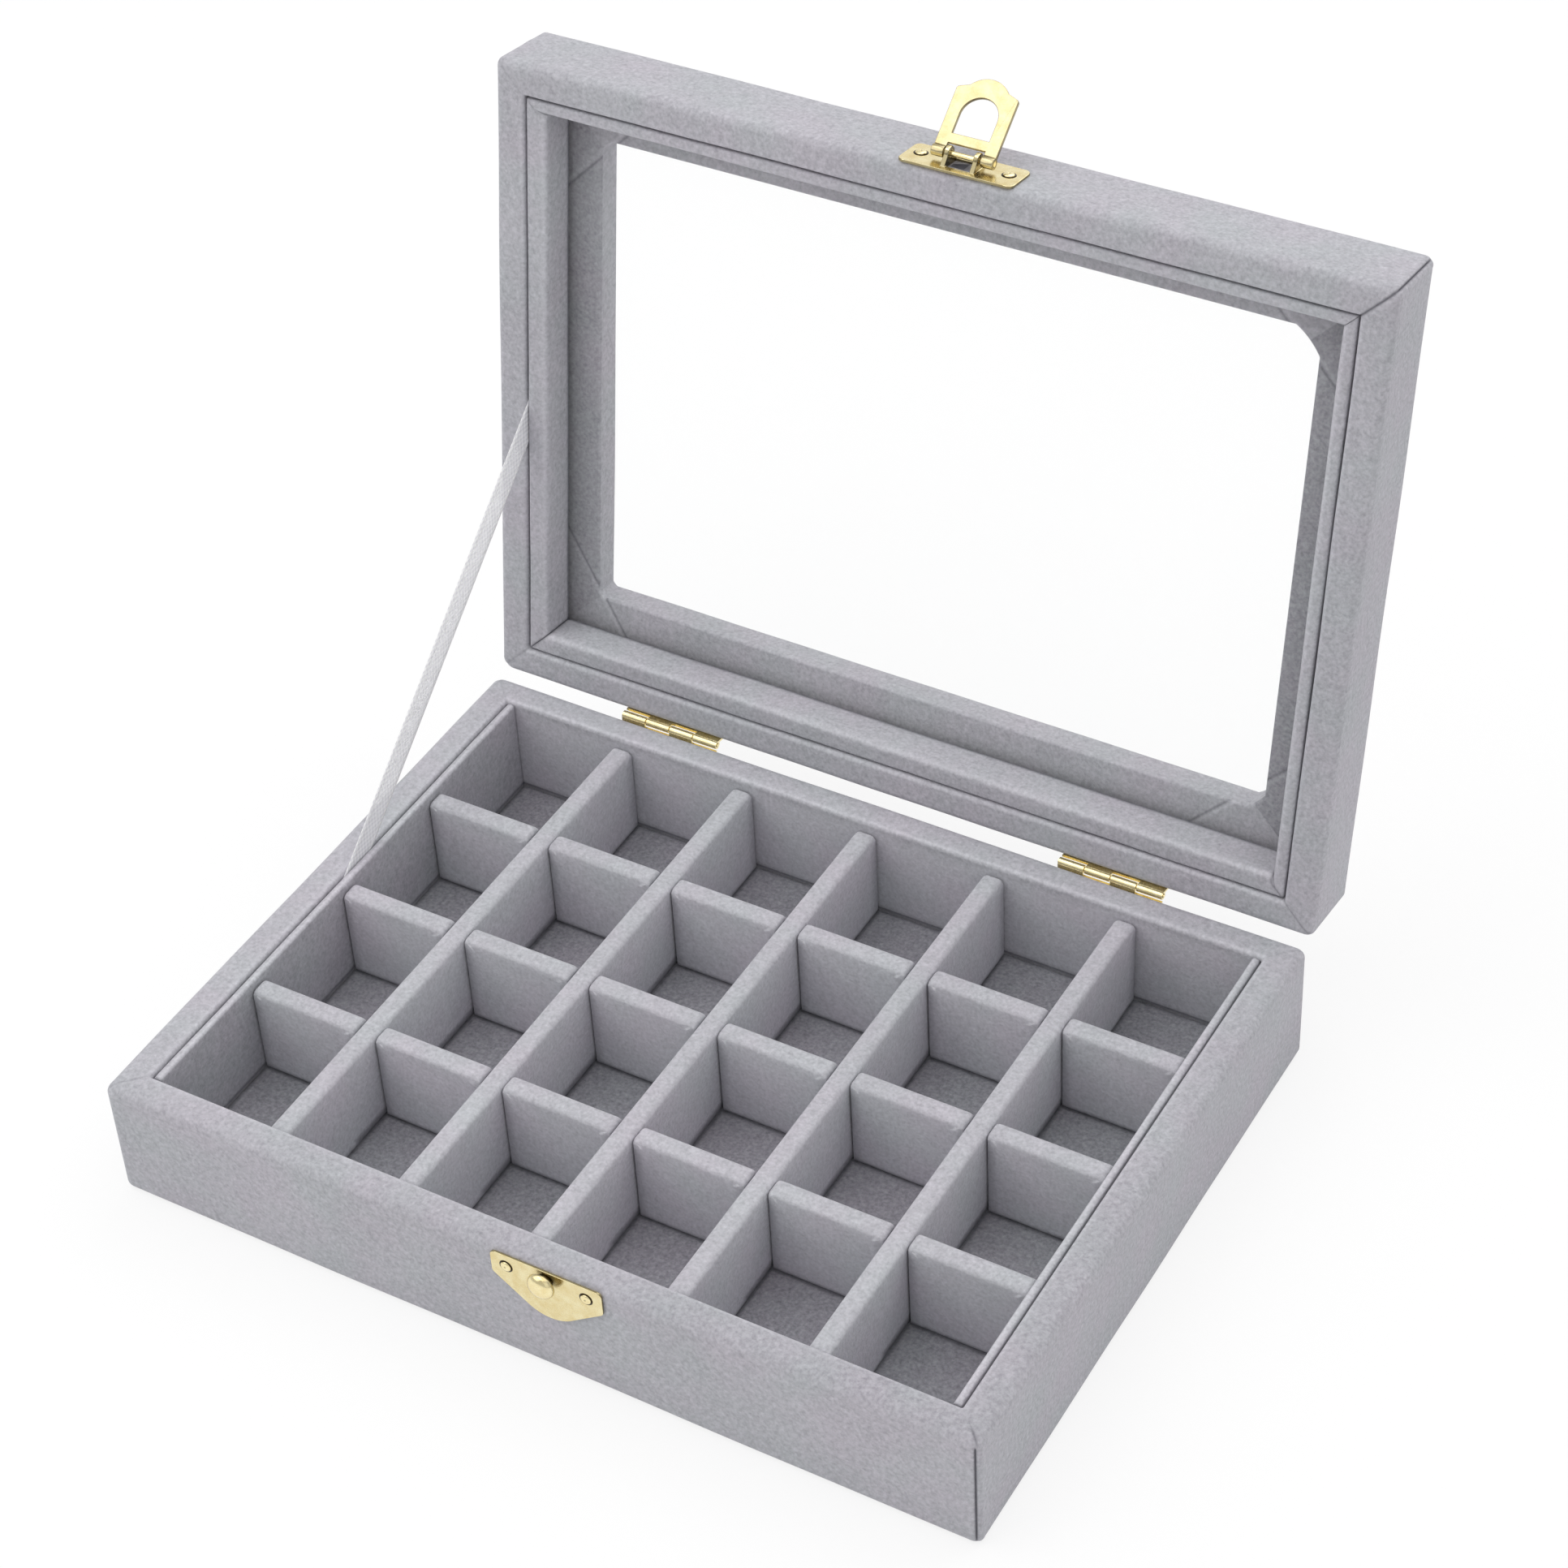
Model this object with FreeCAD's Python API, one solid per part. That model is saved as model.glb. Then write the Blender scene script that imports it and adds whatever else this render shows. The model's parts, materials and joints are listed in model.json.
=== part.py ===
import FreeCAD
import Part
import math
import os

# A shallow velvet box for rings and small jewels, shown with its glazed lid standing open.
# Millimetres; X to the right, Y to the back, Z up; the origin is the middle of the underside.
# The lid is drawn shut, in its place on the base, and then turned open about the hinge pins.

# Outside of the shut box
box_width = 200.0
box_depth = 147.5
base_height = 30.0
lid_height = 18.4
lid_gap = 0.3
lid_opening = 98.9

# Boards and the velvet drawn over them
rim_width = 7.1
pile = 0.85
corner_round = 2.6
rim_round = 1.2
rim_inner_bevel = 0.7
foot_round = 2.2
crown_round = 1.3
hem_width = 11.0
ground_gap = 0.1
card_play = 0.25
seam_groove_width = 0.35
seam_groove_depth = 0.45

# Inside of the base
bottom_board_thick = 3.0
pad_thick = 2.05
pad_play = 0.2
seam = 0.4
base_liner_thick = 1.7
base_liner_drop = 0.5
base_liner_round = 0.6
base_liner_end_play = 0.2
columns = 6
rows = 4
end_row_extra = 2.5
divider_thick = 4.6
divider_drop = 2.0
divider_round = 1.1
divider_corner_round = 1.6
divider_end_bevel = 0.8
divider_end_play = 0.15

# Inside of the lid
glass_depth = 9.5
glass_thick = 2.0
glass_play = 0.4
lid_liner_thick = 4.8
lid_liner_drop = 0.4
lid_liner_round = 1.5
mitre_gap = 0.16
lip_reach = 18.8
window_corner_round = 4.0
window_edge_bevel = 0.6

# Butt hinges on the back faces
hinge_spread = 54.5
hinge_length = 24.4
knuckle_count = 4
knuckle_gap = 0.25
barrel_radius = 0.9
hinge_axis_out = 0.95
hinge_axis_drop = 0.2
hinge_pin_radius = 0.45
hinge_pin_play = 0.05
hinge_pin_stub = 0.2
leaf_thick = 0.55
leaf_reach = 9.6
leaf_clearance = 0.35
leaf_corner_round = 1.2
leaf_nail_inset = 4.2
leaf_nail_height = 5.9

# Nails that hold every metal plate
nail_head_radius = 1.2
nail_head_height = 0.5
nail_head_sides = 12
nail_head_bevel = 0.3
nail_shank_half = 0.32
nail_point_half = 0.08
nail_length = 4.4
nail_play = 0.05

# Hasp on the lid's front face
latch_offset = 6.8
plate_thick = 0.6
hasp_plate_length = 25.4
hasp_plate_width = 9.2
hasp_plate_edge = 0.1
hasp_plate_round = 1.5
hasp_nail_inset = 3.0
hasp_pivot_height = 4.3
hasp_barrel_radius = 1.2
hasp_barrel_clearance = 0.6
hasp_pin_radius = 0.55
hasp_pin_play = 0.05
ear_thick = 1.0
ear_gap = 0.4
ear_foot = 2.9
ear_crown_radius = 1.5
ear_slot_height = 4.6
loop_width = 13.6
loop_leg = 2.7
loop_thick = 0.9
loop_bar_start = 1.9
loop_window_start = 4.0
loop_window_end = 12.3
loop_shoulder = 13.5
loop_tip = 16.4
loop_tip_half = 4.2
loop_tip_rise = 0.9
loop_edge_round = 0.7
loop_lift = 133.7

# Catch plate and knob on the base's front face
catch_length = 25.4
catch_drop = 0.5
catch_end_height = 5.8
catch_height = 13.2
catch_foot_half = 4.6
catch_foot_rise = 1.4
catch_end_round = 1.2
catch_nail_inset = 3.6
catch_nail_drop = 2.9
knob_neck_radius = 1.8
knob_neck_length = 1.6
knob_radius = 3.0
knob_dome = 1.7
knob_gap = 0.35

# Ribbon stay on the left
ribbon_width = 6.6
ribbon_thick = 0.2
ribbon_base_place = 8.0
ribbon_lid_place = 63.6
ribbon_base_tuck = 11.0
ribbon_lid_tuck = 9.0

Vector = FreeCAD.Vector
across = Vector(1, 0, 0)
along_y = Vector(0, 1, 0)
upward = Vector(0, 0, 1)

# Heights and half sizes that follow from the values above
half_width = box_width / 2
half_depth = box_depth / 2
board_thick = rim_width - 2 * pile
bevel_share = 2 - math.sqrt(2)
corner_bevel = (corner_round - pile) * bevel_share
foot_bevel = (foot_round - pile) * bevel_share
rim_bevel = (rim_round - pile) * bevel_share
crown_bevel = (crown_round - pile) * bevel_share
board_foot = ground_gap + pile
board_floor = board_foot + bottom_board_thick
pad_top = board_floor + pad_thick
base_rim = base_height
lid_rim = base_height + lid_gap
lid_top = lid_rim + lid_height
lip_under = lid_rim + glass_depth + glass_thick
hinge_y = half_depth + hinge_axis_out
hinge_z = base_height - hinge_axis_drop
base_cell_half_x = half_width - rim_width - seam - base_liner_thick
base_cell_half_y = half_depth - rim_width
column_pitch = (2 * base_cell_half_x + divider_thick) / columns
row_pitch = (2 * (base_cell_half_y - end_row_extra) + divider_thick) / rows
divider_top = base_rim - divider_drop
hasp_axis_out = plate_thick + hasp_barrel_clearance + hasp_barrel_radius
hasp_axis_y = -half_depth - hasp_axis_out
hasp_axis_z = lid_rim + hasp_pivot_height
knob_z = hasp_axis_z - loop_window_start - knob_gap - knob_radius


def slab(x0, x1, y0, y1, z0, z1):
    return Part.makeBox(x1 - x0, y1 - y0, z1 - z0, Vector(x0, y0, z0))


def upright_edges(block):
    return [e for e in block.Edges if e.BoundBox.ZLength > block.BoundBox.ZLength / 2]


def bevel(shape, size, edges):
    return shape.makeChamfer(size, edges)


def centred_slab(half_x, half_y, z0, z1, corner):
    block = slab(-half_x, half_x, -half_y, half_y, z0, z1)
    if corner <= 0:
        return block
    return block.makeFillet(corner, upright_edges(block))


def level_edges(shape, z, inside_x=None, inside_y=None):
    # edges lying flat at height z, all of them or only the loop inside the given half sizes
    found = []
    for edge in shape.Edges:
        box = edge.BoundBox
        if abs(box.ZMin - z) > 1e-4 or abs(box.ZMax - z) > 1e-4:
            continue
        middle = edge.CenterOfMass
        within = inside_x is not None and abs(middle.x) < inside_x and abs(middle.y) < inside_y
        if inside_x is None or within:
            found.append(edge)
    return found


def soften(shape, radius, z, inside_x=None, inside_y=None):
    return shape.makeFillet(radius, level_edges(shape, z, inside_x, inside_y))


def four_sides(ring, half_x, half_y, thick):
    # front and back pieces run the full width, left and right ones stand between them
    inner_y = half_y - thick
    low = ring.BoundBox.ZMin - 1
    high = ring.BoundBox.ZMax + 1
    reach = half_x + 1
    front = ring.common(slab(-reach, reach, -half_y - 1, -inner_y, low, high))
    back = ring.common(slab(-reach, reach, inner_y, half_y + 1, low, high))
    left = ring.common(slab(-reach, 0, -inner_y, inner_y, low, high))
    right = ring.common(slab(0, reach, -inner_y, inner_y, low, high))
    return {"front": front, "back": back, "left": left, "right": right}


def mitred_sides(ring, half_x, half_y, thick, gap):
    # four strips that meet on the diagonals of their corners, a hair apart
    low = ring.BoundBox.ZMin - 1
    tall = ring.BoundBox.ZLength + 2
    over = 2 * thick
    slip = gap / math.sqrt(2)
    x_far = half_x + thick
    y_far = half_y + thick
    x_near = half_x - over
    y_near = half_y - over
    front = [
        (-x_far + slip, -y_far),
        (x_far - slip, -y_far),
        (x_near - slip, -y_near),
        (-x_near + slip, -y_near),
    ]
    left = [
        (-x_far, -y_far + slip),
        (-x_near, -y_near + slip),
        (-x_near, y_near - slip),
        (-x_far, y_far - slip),
    ]
    tools = {
        "front": front,
        "back": [(x, -y) for x, y in front],
        "left": left,
        "right": [(-x, y) for x, y in left],
    }
    sides = {}
    for side, corners in tools.items():
        points = [Vector(x, y, low) for x, y in corners]
        face = Part.Face(Part.makePolygon(points + points[:1]))
        sides[side] = ring.common(face.extrude(Vector(0, 0, tall)))
    return sides


def corner_groove(half_x, half_y, corner, z0, z1):
    # the slit where the velvet's two ends meet on the front right corner
    reach = seam_groove_depth + corner
    side = seam_groove_width / 2
    groove = slab(corner - seam_groove_depth, corner + reach, -side, side, z0, z1)
    groove.rotate(Vector(0, 0, 0), upward, -45)
    groove.translate(Vector(half_x - corner, -half_y + corner, 0))
    return groove


def dome(foot, outward, radius, height):
    # the cap of a ball, standing on a flat face
    ball_radius = (radius ** 2 + height ** 2) / (2 * height)
    ball = Part.makeSphere(ball_radius, foot + outward * (height - ball_radius))
    return ball.common(Part.makeCylinder(radius, height, foot, outward))


def many_sided(radius, sides):
    # a closed outline of equal sides round the Y axis
    points = []
    for number in range(sides + 1):
        angle = 2 * math.pi * (number % sides + 0.5) / sides
        points.append(Vector(radius * math.cos(angle), 0, radius * math.sin(angle)))
    return Part.makePolygon(points)


def nail(place, outward, plate_face):
    # a low bevelled head on the plate's face and a square shank that tapers to its point
    head = Part.Face(many_sided(nail_head_radius, nail_head_sides)).extrude(along_y * nail_head_height)
    head = bevel(head, nail_head_bevel, [e for e in head.Edges if e.BoundBox.YMin > nail_head_height / 2])
    thick = nail_shank_half
    thin = nail_point_half
    shank = Part.makeWedge(-thin, -nail_length, -thin, -thick, -thick, thin, 0, thin, thick, thick)
    driven = head.fuse(shank).removeSplitter()
    if outward.y < 0:
        driven.rotate(Vector(0, 0, 0), upward, 180)
    return driven.translated(place + outward * plate_face)


def punched_hole(place, outward, thick):
    half = nail_shank_half + nail_play
    near, far = sorted([place.y, place.y + outward.y * thick])
    return slab(place.x - half, place.x + half, near, far, place.z - half, place.z + half)


def open_up(shape):
    turned = shape.copy()
    turned.rotate(Vector(0, hinge_y, hinge_z), across, -lid_opening)
    return turned


def lift_loop(shape):
    turned = shape.copy()
    turned.rotate(Vector(0, hasp_axis_y, hasp_axis_z), across, -loop_lift)
    return turned


# Where the nails go: a point on the box face under each head
hinge_centres = [-hinge_spread, hinge_spread]
hinge_nail_x = [c + s * (hinge_length / 2 - leaf_nail_inset) for c in hinge_centres for s in (-1, 1)]
hinge_base_nails = [Vector(x, half_depth, hinge_z - leaf_nail_height) for x in hinge_nail_x]
hinge_lid_nails = [Vector(x, half_depth, hinge_z + leaf_nail_height) for x in hinge_nail_x]
hasp_plate_middle = lid_rim + hasp_plate_edge + hasp_plate_width / 2
hasp_nail_x = [latch_offset + s * (hasp_plate_length / 2 - hasp_nail_inset) for s in (-1, 1)]
hasp_nail_places = [Vector(x, -half_depth, hasp_plate_middle) for x in hasp_nail_x]
catch_top = base_rim - catch_drop
catch_nail_x = [latch_offset + s * (catch_length / 2 - catch_nail_inset) for s in (-1, 1)]
catch_nail_places = [Vector(x, -half_depth, catch_top - catch_nail_drop) for x in catch_nail_x]
backward = along_y
forward = along_y * -1
base_holes = [punched_hole(p, backward, leaf_thick) for p in hinge_base_nails]
base_holes += [punched_hole(p, forward, plate_thick) for p in catch_nail_places]
lid_holes = [punched_hole(p, backward, leaf_thick) for p in hinge_lid_nails]
lid_holes += [punched_hole(p, forward, plate_thick) for p in hasp_nail_places]

nodes = {}

# Base boards: four walls round a bottom board
frame_x = half_width - pile
frame_y = half_depth - pile
wall_outer = slab(-frame_x, frame_x, -frame_y, frame_y, board_foot, base_rim - pile)
wall_outer = bevel(wall_outer, corner_bevel, upright_edges(wall_outer))
wall_outer = bevel(wall_outer, foot_bevel, level_edges(wall_outer, board_foot))
wall_outer = bevel(wall_outer, rim_bevel, level_edges(wall_outer, base_rim - pile))
inner_x = frame_x - board_thick
inner_y = frame_y - board_thick
wall_ring = wall_outer.cut(slab(-inner_x, inner_x, -inner_y, inner_y, 0, base_height))
walls = four_sides(wall_ring, frame_x, frame_y, board_thick)
for side, wall in walls.items():
    nodes["base_wall_" + side] = wall
nodes["base_bottom_board"] = slab(-inner_x, inner_x, -inner_y, inner_y, board_foot, board_floor)

# Velvet over the base: up the outside, over the rim and down the inside, hemmed under the foot
skin = centred_slab(half_width, half_depth, ground_gap, base_rim, corner_round)
skin = soften(skin, foot_round, ground_gap)
skin = soften(skin, rim_round, base_rim)
well_x = half_width - rim_width
well_y = half_depth - rim_width
well = slab(-well_x, well_x, -well_y, well_y, board_floor, base_rim + 1)
skin = skin.cut(well)
skin = bevel(skin, rim_inner_bevel, level_edges(skin, base_rim, well_x + 0.1, well_y + 0.1))
skin = skin.cut([wall_ring, nodes["base_bottom_board"]])
hem_x = half_width - hem_width
hem_y = half_depth - hem_width
skin = skin.cut(slab(-hem_x, hem_x, -hem_y, hem_y, 0, board_foot))
groove_top = base_rim - rim_round
nodes["base_cover"] = skin.cut(corner_groove(half_width, half_depth, corner_round, 0, groove_top))
card_x = hem_x - card_play
card_y = hem_y - card_play
nodes["underside_card"] = slab(-card_x, card_x, -card_y, card_y, 0, board_foot)

# Liner strips at the left and right ends of the base, a thin seam away from the rim
strip_x = well_x - seam
strip_y = well_y - base_liner_end_play
strip_top = base_rim - base_liner_drop
for side, way in (("left", -1), ("right", 1)):
    ends = sorted([way * base_cell_half_x, way * strip_x])
    strip = slab(ends[0], ends[1], -strip_y, strip_y, board_floor, strip_top)
    long_edges = [e for e in level_edges(strip, strip_top) if e.BoundBox.YLength > strip_y]
    nodes["base_liner_" + side] = strip.makeFillet(base_liner_round, long_edges)
pad_x = base_cell_half_x - pad_play
pad_y = base_cell_half_y - pad_play
nodes["floor_pad"] = slab(-pad_x, pad_x, -pad_y, pad_y, board_floor, pad_top)


def divider(length):
    # a padded board along X: round along the top, its upper corners rounded off and its ends bevelled
    half = length / 2
    side = divider_thick / 2
    board = slab(-half, half, -side, side, pad_top, divider_top)
    top = level_edges(board, divider_top)
    round_top = board.makeFillet(divider_round, [e for e in top if e.BoundBox.XLength > half])
    round_corners = board.makeFillet(divider_corner_round, [e for e in top if e.BoundBox.YLength > side])
    bevelled_ends = bevel(board, divider_end_bevel, upright_edges(board))
    return round_top.common(round_corners).common(bevelled_ends)


# Long dividers run from front to back; rows of short ones stand between them
column_lines = [(i - columns / 2) * column_pitch for i in range(1, columns)]
row_lines = [(i - rows / 2) * row_pitch for i in range(1, rows)]
column_middles = [(i - (columns - 1) / 2) * column_pitch for i in range(columns)]
long_divider = divider(2 * (base_cell_half_y - divider_end_play))
long_divider.rotate(Vector(0, 0, 0), upward, 90)
short_divider = divider(column_pitch - divider_thick - 2 * divider_end_play)
for number, x in enumerate(column_lines, 1):
    nodes["long_divider_%d" % number] = long_divider.translated(Vector(x, 0, 0))
for number, y in enumerate(row_lines, 1):
    row = [short_divider.translated(Vector(x, y, 0)) for x in column_middles]
    nodes["cross_divider_%d" % number] = Part.makeCompound(row)

# Lid boards: four walls under a lip that frames the window
lip_foot = lip_under + pile
lip_inner_x = half_width - lip_reach + pile
lip_inner_y = half_depth - lip_reach + pile
lid_outer = slab(-frame_x, frame_x, -frame_y, frame_y, lid_rim + pile, lid_top - pile)
lid_outer = bevel(lid_outer, corner_bevel, upright_edges(lid_outer))
lid_outer = bevel(lid_outer, rim_bevel, level_edges(lid_outer, lid_rim + pile))
lid_outer = bevel(lid_outer, crown_bevel, level_edges(lid_outer, lid_top - pile))
lid_core = slab(-inner_x, inner_x, -inner_y, inner_y, lid_rim, lip_foot)
lid_window = slab(-lip_inner_x, lip_inner_x, -lip_inner_y, lip_inner_y, lid_rim, lid_top)
lid_boards = lid_outer.cut([lid_core, lid_window])
below_lip = slab(-box_width, box_width, -box_depth, box_depth, lid_rim - 1, lip_foot)
above_lip = slab(-box_width, box_width, -box_depth, box_depth, lip_foot, lid_top + 1)
lid_walls = four_sides(lid_boards.common(below_lip), frame_x, frame_y, board_thick)
for side, wall in lid_walls.items():
    nodes["lid_wall_" + side] = open_up(wall)
lip_width = lip_reach - 2 * pile
lip_rails = four_sides(lid_boards.common(above_lip), frame_x, frame_y, lip_width)
for side, rail in lip_rails.items():
    nodes["lid_lip_" + side] = open_up(rail)

# Velvet over the lid: outside, crown, window edge, under the lip and round the rim
skin = centred_slab(half_width, half_depth, lid_rim, lid_top, corner_round)
skin = soften(skin, rim_round, lid_rim)
skin = soften(skin, crown_round, lid_top)
skin = skin.cut(slab(-well_x, well_x, -well_y, well_y, lid_rim - 1, lip_under))
skin = bevel(skin, rim_inner_bevel, level_edges(skin, lid_rim, well_x + 0.1, well_y + 0.1))
window_x = half_width - lip_reach
window_y = half_depth - lip_reach
skin = skin.cut(centred_slab(window_x, window_y, lip_under - 1, lid_top + 1, window_corner_round))
skin = bevel(skin, window_edge_bevel, level_edges(skin, lid_top, window_x + 0.1, window_y + 0.1))
skin = skin.cut(lid_boards)
groove_low = lid_rim + rim_round
groove_high = lid_top - crown_round
groove = corner_groove(half_width, half_depth, corner_round, groove_low, groove_high)
nodes["lid_cover"] = open_up(skin.cut(groove))

# Glass laid on the lip, held there by four padded liner strips
pane_x = well_x - glass_play
pane_y = well_y - glass_play
nodes["glass_pane"] = open_up(slab(-pane_x, pane_x, -pane_y, pane_y, lip_under - glass_thick, lip_under))
lid_strip_x = well_x - seam
lid_strip_y = well_y - seam
lid_strip_low = lid_rim + lid_liner_drop
lid_strip_top = lip_under - glass_thick
lid_ring = slab(-lid_strip_x, lid_strip_x, -lid_strip_y, lid_strip_y, lid_strip_low, lid_strip_top)
lid_hole_x = lid_strip_x - lid_liner_thick
lid_hole_y = lid_strip_y - lid_liner_thick
lid_ring = lid_ring.cut(slab(-lid_hole_x, lid_hole_x, -lid_hole_y, lid_hole_y, lid_rim - 1, lid_top))
lid_ring = soften(lid_ring, lid_liner_round, lid_strip_low)
for side, strip in mitred_sides(lid_ring, lid_strip_x, lid_strip_y, lid_liner_thick, mitre_gap).items():
    nodes["lid_liner_" + side] = open_up(strip)


def hinge_leaf(centre, way, first_knuckle):
    # a leaf flat on the back face, way +1 above the pin and -1 below, rolled into every other knuckle
    left = centre - hinge_length / 2
    right = centre + hinge_length / 2
    back = half_depth + leaf_thick
    start = math.sqrt((barrel_radius + leaf_clearance) ** 2 - (hinge_axis_out - leaf_thick) ** 2)
    ends = sorted([hinge_z + way * start, hinge_z + way * leaf_reach])
    leaf = slab(left, right, half_depth, back, ends[0], ends[1])
    far = hinge_z + way * leaf_reach
    short_edges = [e for e in leaf.Edges if e.BoundBox.YLength > leaf_thick / 2]
    far_corners = [e for e in short_edges if abs(e.CenterOfMass.z - far) < 1e-4]
    leaf = leaf.makeFillet(leaf_corner_round, far_corners)
    pitch = hinge_length / knuckle_count
    for number in range(first_knuckle, knuckle_count, 2):
        x0 = left + number * pitch + (knuckle_gap / 2 if number > 0 else 0)
        x1 = left + (number + 1) * pitch - (knuckle_gap / 2 if number < knuckle_count - 1 else 0)
        strap = sorted([hinge_z, hinge_z + way * start])
        tab = slab(x0, x1, half_depth, back, strap[0], strap[1])
        roll = Part.makeCylinder(barrel_radius, x1 - x0, Vector(x0, hinge_y, hinge_z), across)
        leaf = leaf.fuse([tab, roll])
    bore_start = Vector(left - 1, hinge_y, hinge_z)
    bore = Part.makeCylinder(hinge_pin_radius + hinge_pin_play, hinge_length + 2, bore_start, across)
    return leaf.cut(bore).removeSplitter()


for name, centre in zip(("left", "right"), hinge_centres):
    base_leaf = hinge_leaf(centre, -1, 0)
    lid_leaf = hinge_leaf(centre, 1, 1)
    nodes["hinge_%s_base_leaf" % name] = base_leaf.cut(base_holes)
    nodes["hinge_%s_lid_leaf" % name] = open_up(lid_leaf.cut(lid_holes))
    pin_length = hinge_length + 2 * hinge_pin_stub
    pin_start = Vector(centre - pin_length / 2, hinge_y, hinge_z)
    nodes["hinge_%s_pin" % name] = Part.makeCylinder(hinge_pin_radius, pin_length, pin_start, across)
base_nails = [nail(p, backward, leaf_thick) for p in hinge_base_nails]
lid_nails = [nail(p, backward, leaf_thick) for p in hinge_lid_nails]
nodes["hinge_base_nails"] = Part.makeCompound(base_nails)
nodes["hinge_lid_nails"] = Part.makeCompound([open_up(n) for n in lid_nails])

# Hasp plate: two ears bent up out of its middle carry the pin of the loop
plate_y = -half_depth - plate_thick
plate_low = lid_rim + hasp_plate_edge
plate_high = plate_low + hasp_plate_width
plate_left = latch_offset - hasp_plate_length / 2
plate_right = latch_offset + hasp_plate_length / 2
plate = slab(plate_left, plate_right, plate_y, -half_depth, plate_low, plate_high)
plate = plate.makeFillet(hasp_plate_round, [e for e in plate.Edges if e.BoundBox.YLength > plate_thick / 2])
ear_outer = loop_width / 2 - loop_leg - ear_gap
ear_inner = ear_outer - ear_thick
slot_low = hasp_axis_z - ear_slot_height / 2
slot_high = hasp_axis_z + ear_slot_height / 2
slot_left = latch_offset - ear_inner
slot_right = latch_offset + ear_inner
plate = plate.cut(slab(slot_left, slot_right, plate_y - 1, -half_depth + 1, slot_low, slot_high))
for side in (-1, 1):
    x0 = latch_offset + min(side * ear_inner, side * ear_outer)
    outline = [
        Vector(x0, plate_y, hasp_axis_z - ear_foot),
        Vector(x0, plate_y, hasp_axis_z + ear_foot),
        Vector(x0, hasp_axis_y, hasp_axis_z + ear_crown_radius),
        Vector(x0, hasp_axis_y, hasp_axis_z - ear_crown_radius),
    ]
    ear = Part.Face(Part.makePolygon(outline + outline[:1])).extrude(Vector(ear_thick, 0, 0))
    crown = Part.makeCylinder(ear_crown_radius, ear_thick, Vector(x0, hasp_axis_y, hasp_axis_z), across)
    plate = plate.fuse([ear, crown])
pin_half = loop_width / 2
pin_start = Vector(latch_offset - pin_half, hasp_axis_y, hasp_axis_z)
hasp_bore = Part.makeCylinder(hasp_pin_radius + hasp_pin_play, 2 * pin_half, pin_start, across)
nodes["hasp_plate"] = open_up(plate.cut([hasp_bore] + lid_holes).removeSplitter())
nodes["hasp_pin"] = open_up(Part.makeCylinder(hasp_pin_radius, 2 * pin_half, pin_start, across))
hasp_nails = [nail(p, forward, plate_thick) for p in hasp_nail_places]
nodes["hasp_nails"] = Part.makeCompound([open_up(n) for n in hasp_nails])


def loop_point(x, reach):
    # a point of the hanging loop, reach down from its pin
    return Vector(latch_offset + x, hasp_axis_y, hasp_axis_z - reach)


def catch_point(x, drop):
    # a point of the catch plate's back, drop down from its top edge
    return Vector(latch_offset + x, -half_depth, catch_top - drop)


def straight(point, start, end):
    return Part.makeLine(point(*start), point(*end))


def arched(point, start, middle, end):
    return Part.Arc(point(*start), point(*middle), point(*end)).toShape()


def stamping(edges, thickness):
    return Part.Face(Part.Wire(Part.sortEdges(edges)[0])).extrude(thickness)


# Loop: flat stamping with a pointed foot and an arched window, rolled round the pin at both legs
loop_half = loop_width / 2
window_half = loop_half - loop_leg
tip_side = loop_shoulder + loop_tip_rise
outline = [
    straight(loop_point, (-loop_half, 0), (-loop_half, loop_shoulder)),
    straight(loop_point, (-loop_half, loop_shoulder), (-loop_tip_half, tip_side)),
    arched(loop_point, (-loop_tip_half, tip_side), (0, loop_tip), (loop_tip_half, tip_side)),
    straight(loop_point, (loop_tip_half, tip_side), (loop_half, loop_shoulder)),
    straight(loop_point, (loop_half, loop_shoulder), (loop_half, 0)),
    straight(loop_point, (loop_half, 0), (-loop_half, 0)),
]
arch_start = loop_window_end - window_half
window = [
    straight(loop_point, (-window_half, loop_window_start), (-window_half, arch_start)),
    arched(loop_point, (-window_half, arch_start), (0, loop_window_end), (window_half, arch_start)),
    straight(loop_point, (window_half, arch_start), (window_half, loop_window_start)),
    straight(loop_point, (window_half, loop_window_start), (-window_half, loop_window_start)),
]
loop_sheet = Vector(0, loop_thick, 0)
loop = stamping(outline, loop_sheet).cut(stamping(window, loop_sheet))
loop.translate(Vector(0, -loop_thick / 2, 0))
shoulder_z = hasp_axis_z - loop_shoulder
short_edges = [e for e in loop.Edges if e.BoundBox.YLength > loop_thick / 2]
shoulders = [e for e in short_edges if abs(e.CenterOfMass.z - shoulder_z) < 1e-4]
loop = loop.makeFillet(loop_edge_round, shoulders)
notch_left = latch_offset - window_half
notch_right = latch_offset + window_half
notch_foot = hasp_axis_z - loop_bar_start
loop = loop.cut(slab(notch_left, notch_right, hasp_axis_y - 1, hasp_axis_y + 1, notch_foot, hasp_axis_z + 1))
for side in (-1, 1):
    x0 = latch_offset + min(side * window_half, side * loop_half)
    roll = Part.makeCylinder(hasp_barrel_radius, loop_leg, Vector(x0, hasp_axis_y, hasp_axis_z), across)
    loop = loop.fuse(roll)
nodes["hasp_loop"] = open_up(lift_loop(loop.cut(hasp_bore).removeSplitter()))

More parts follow.
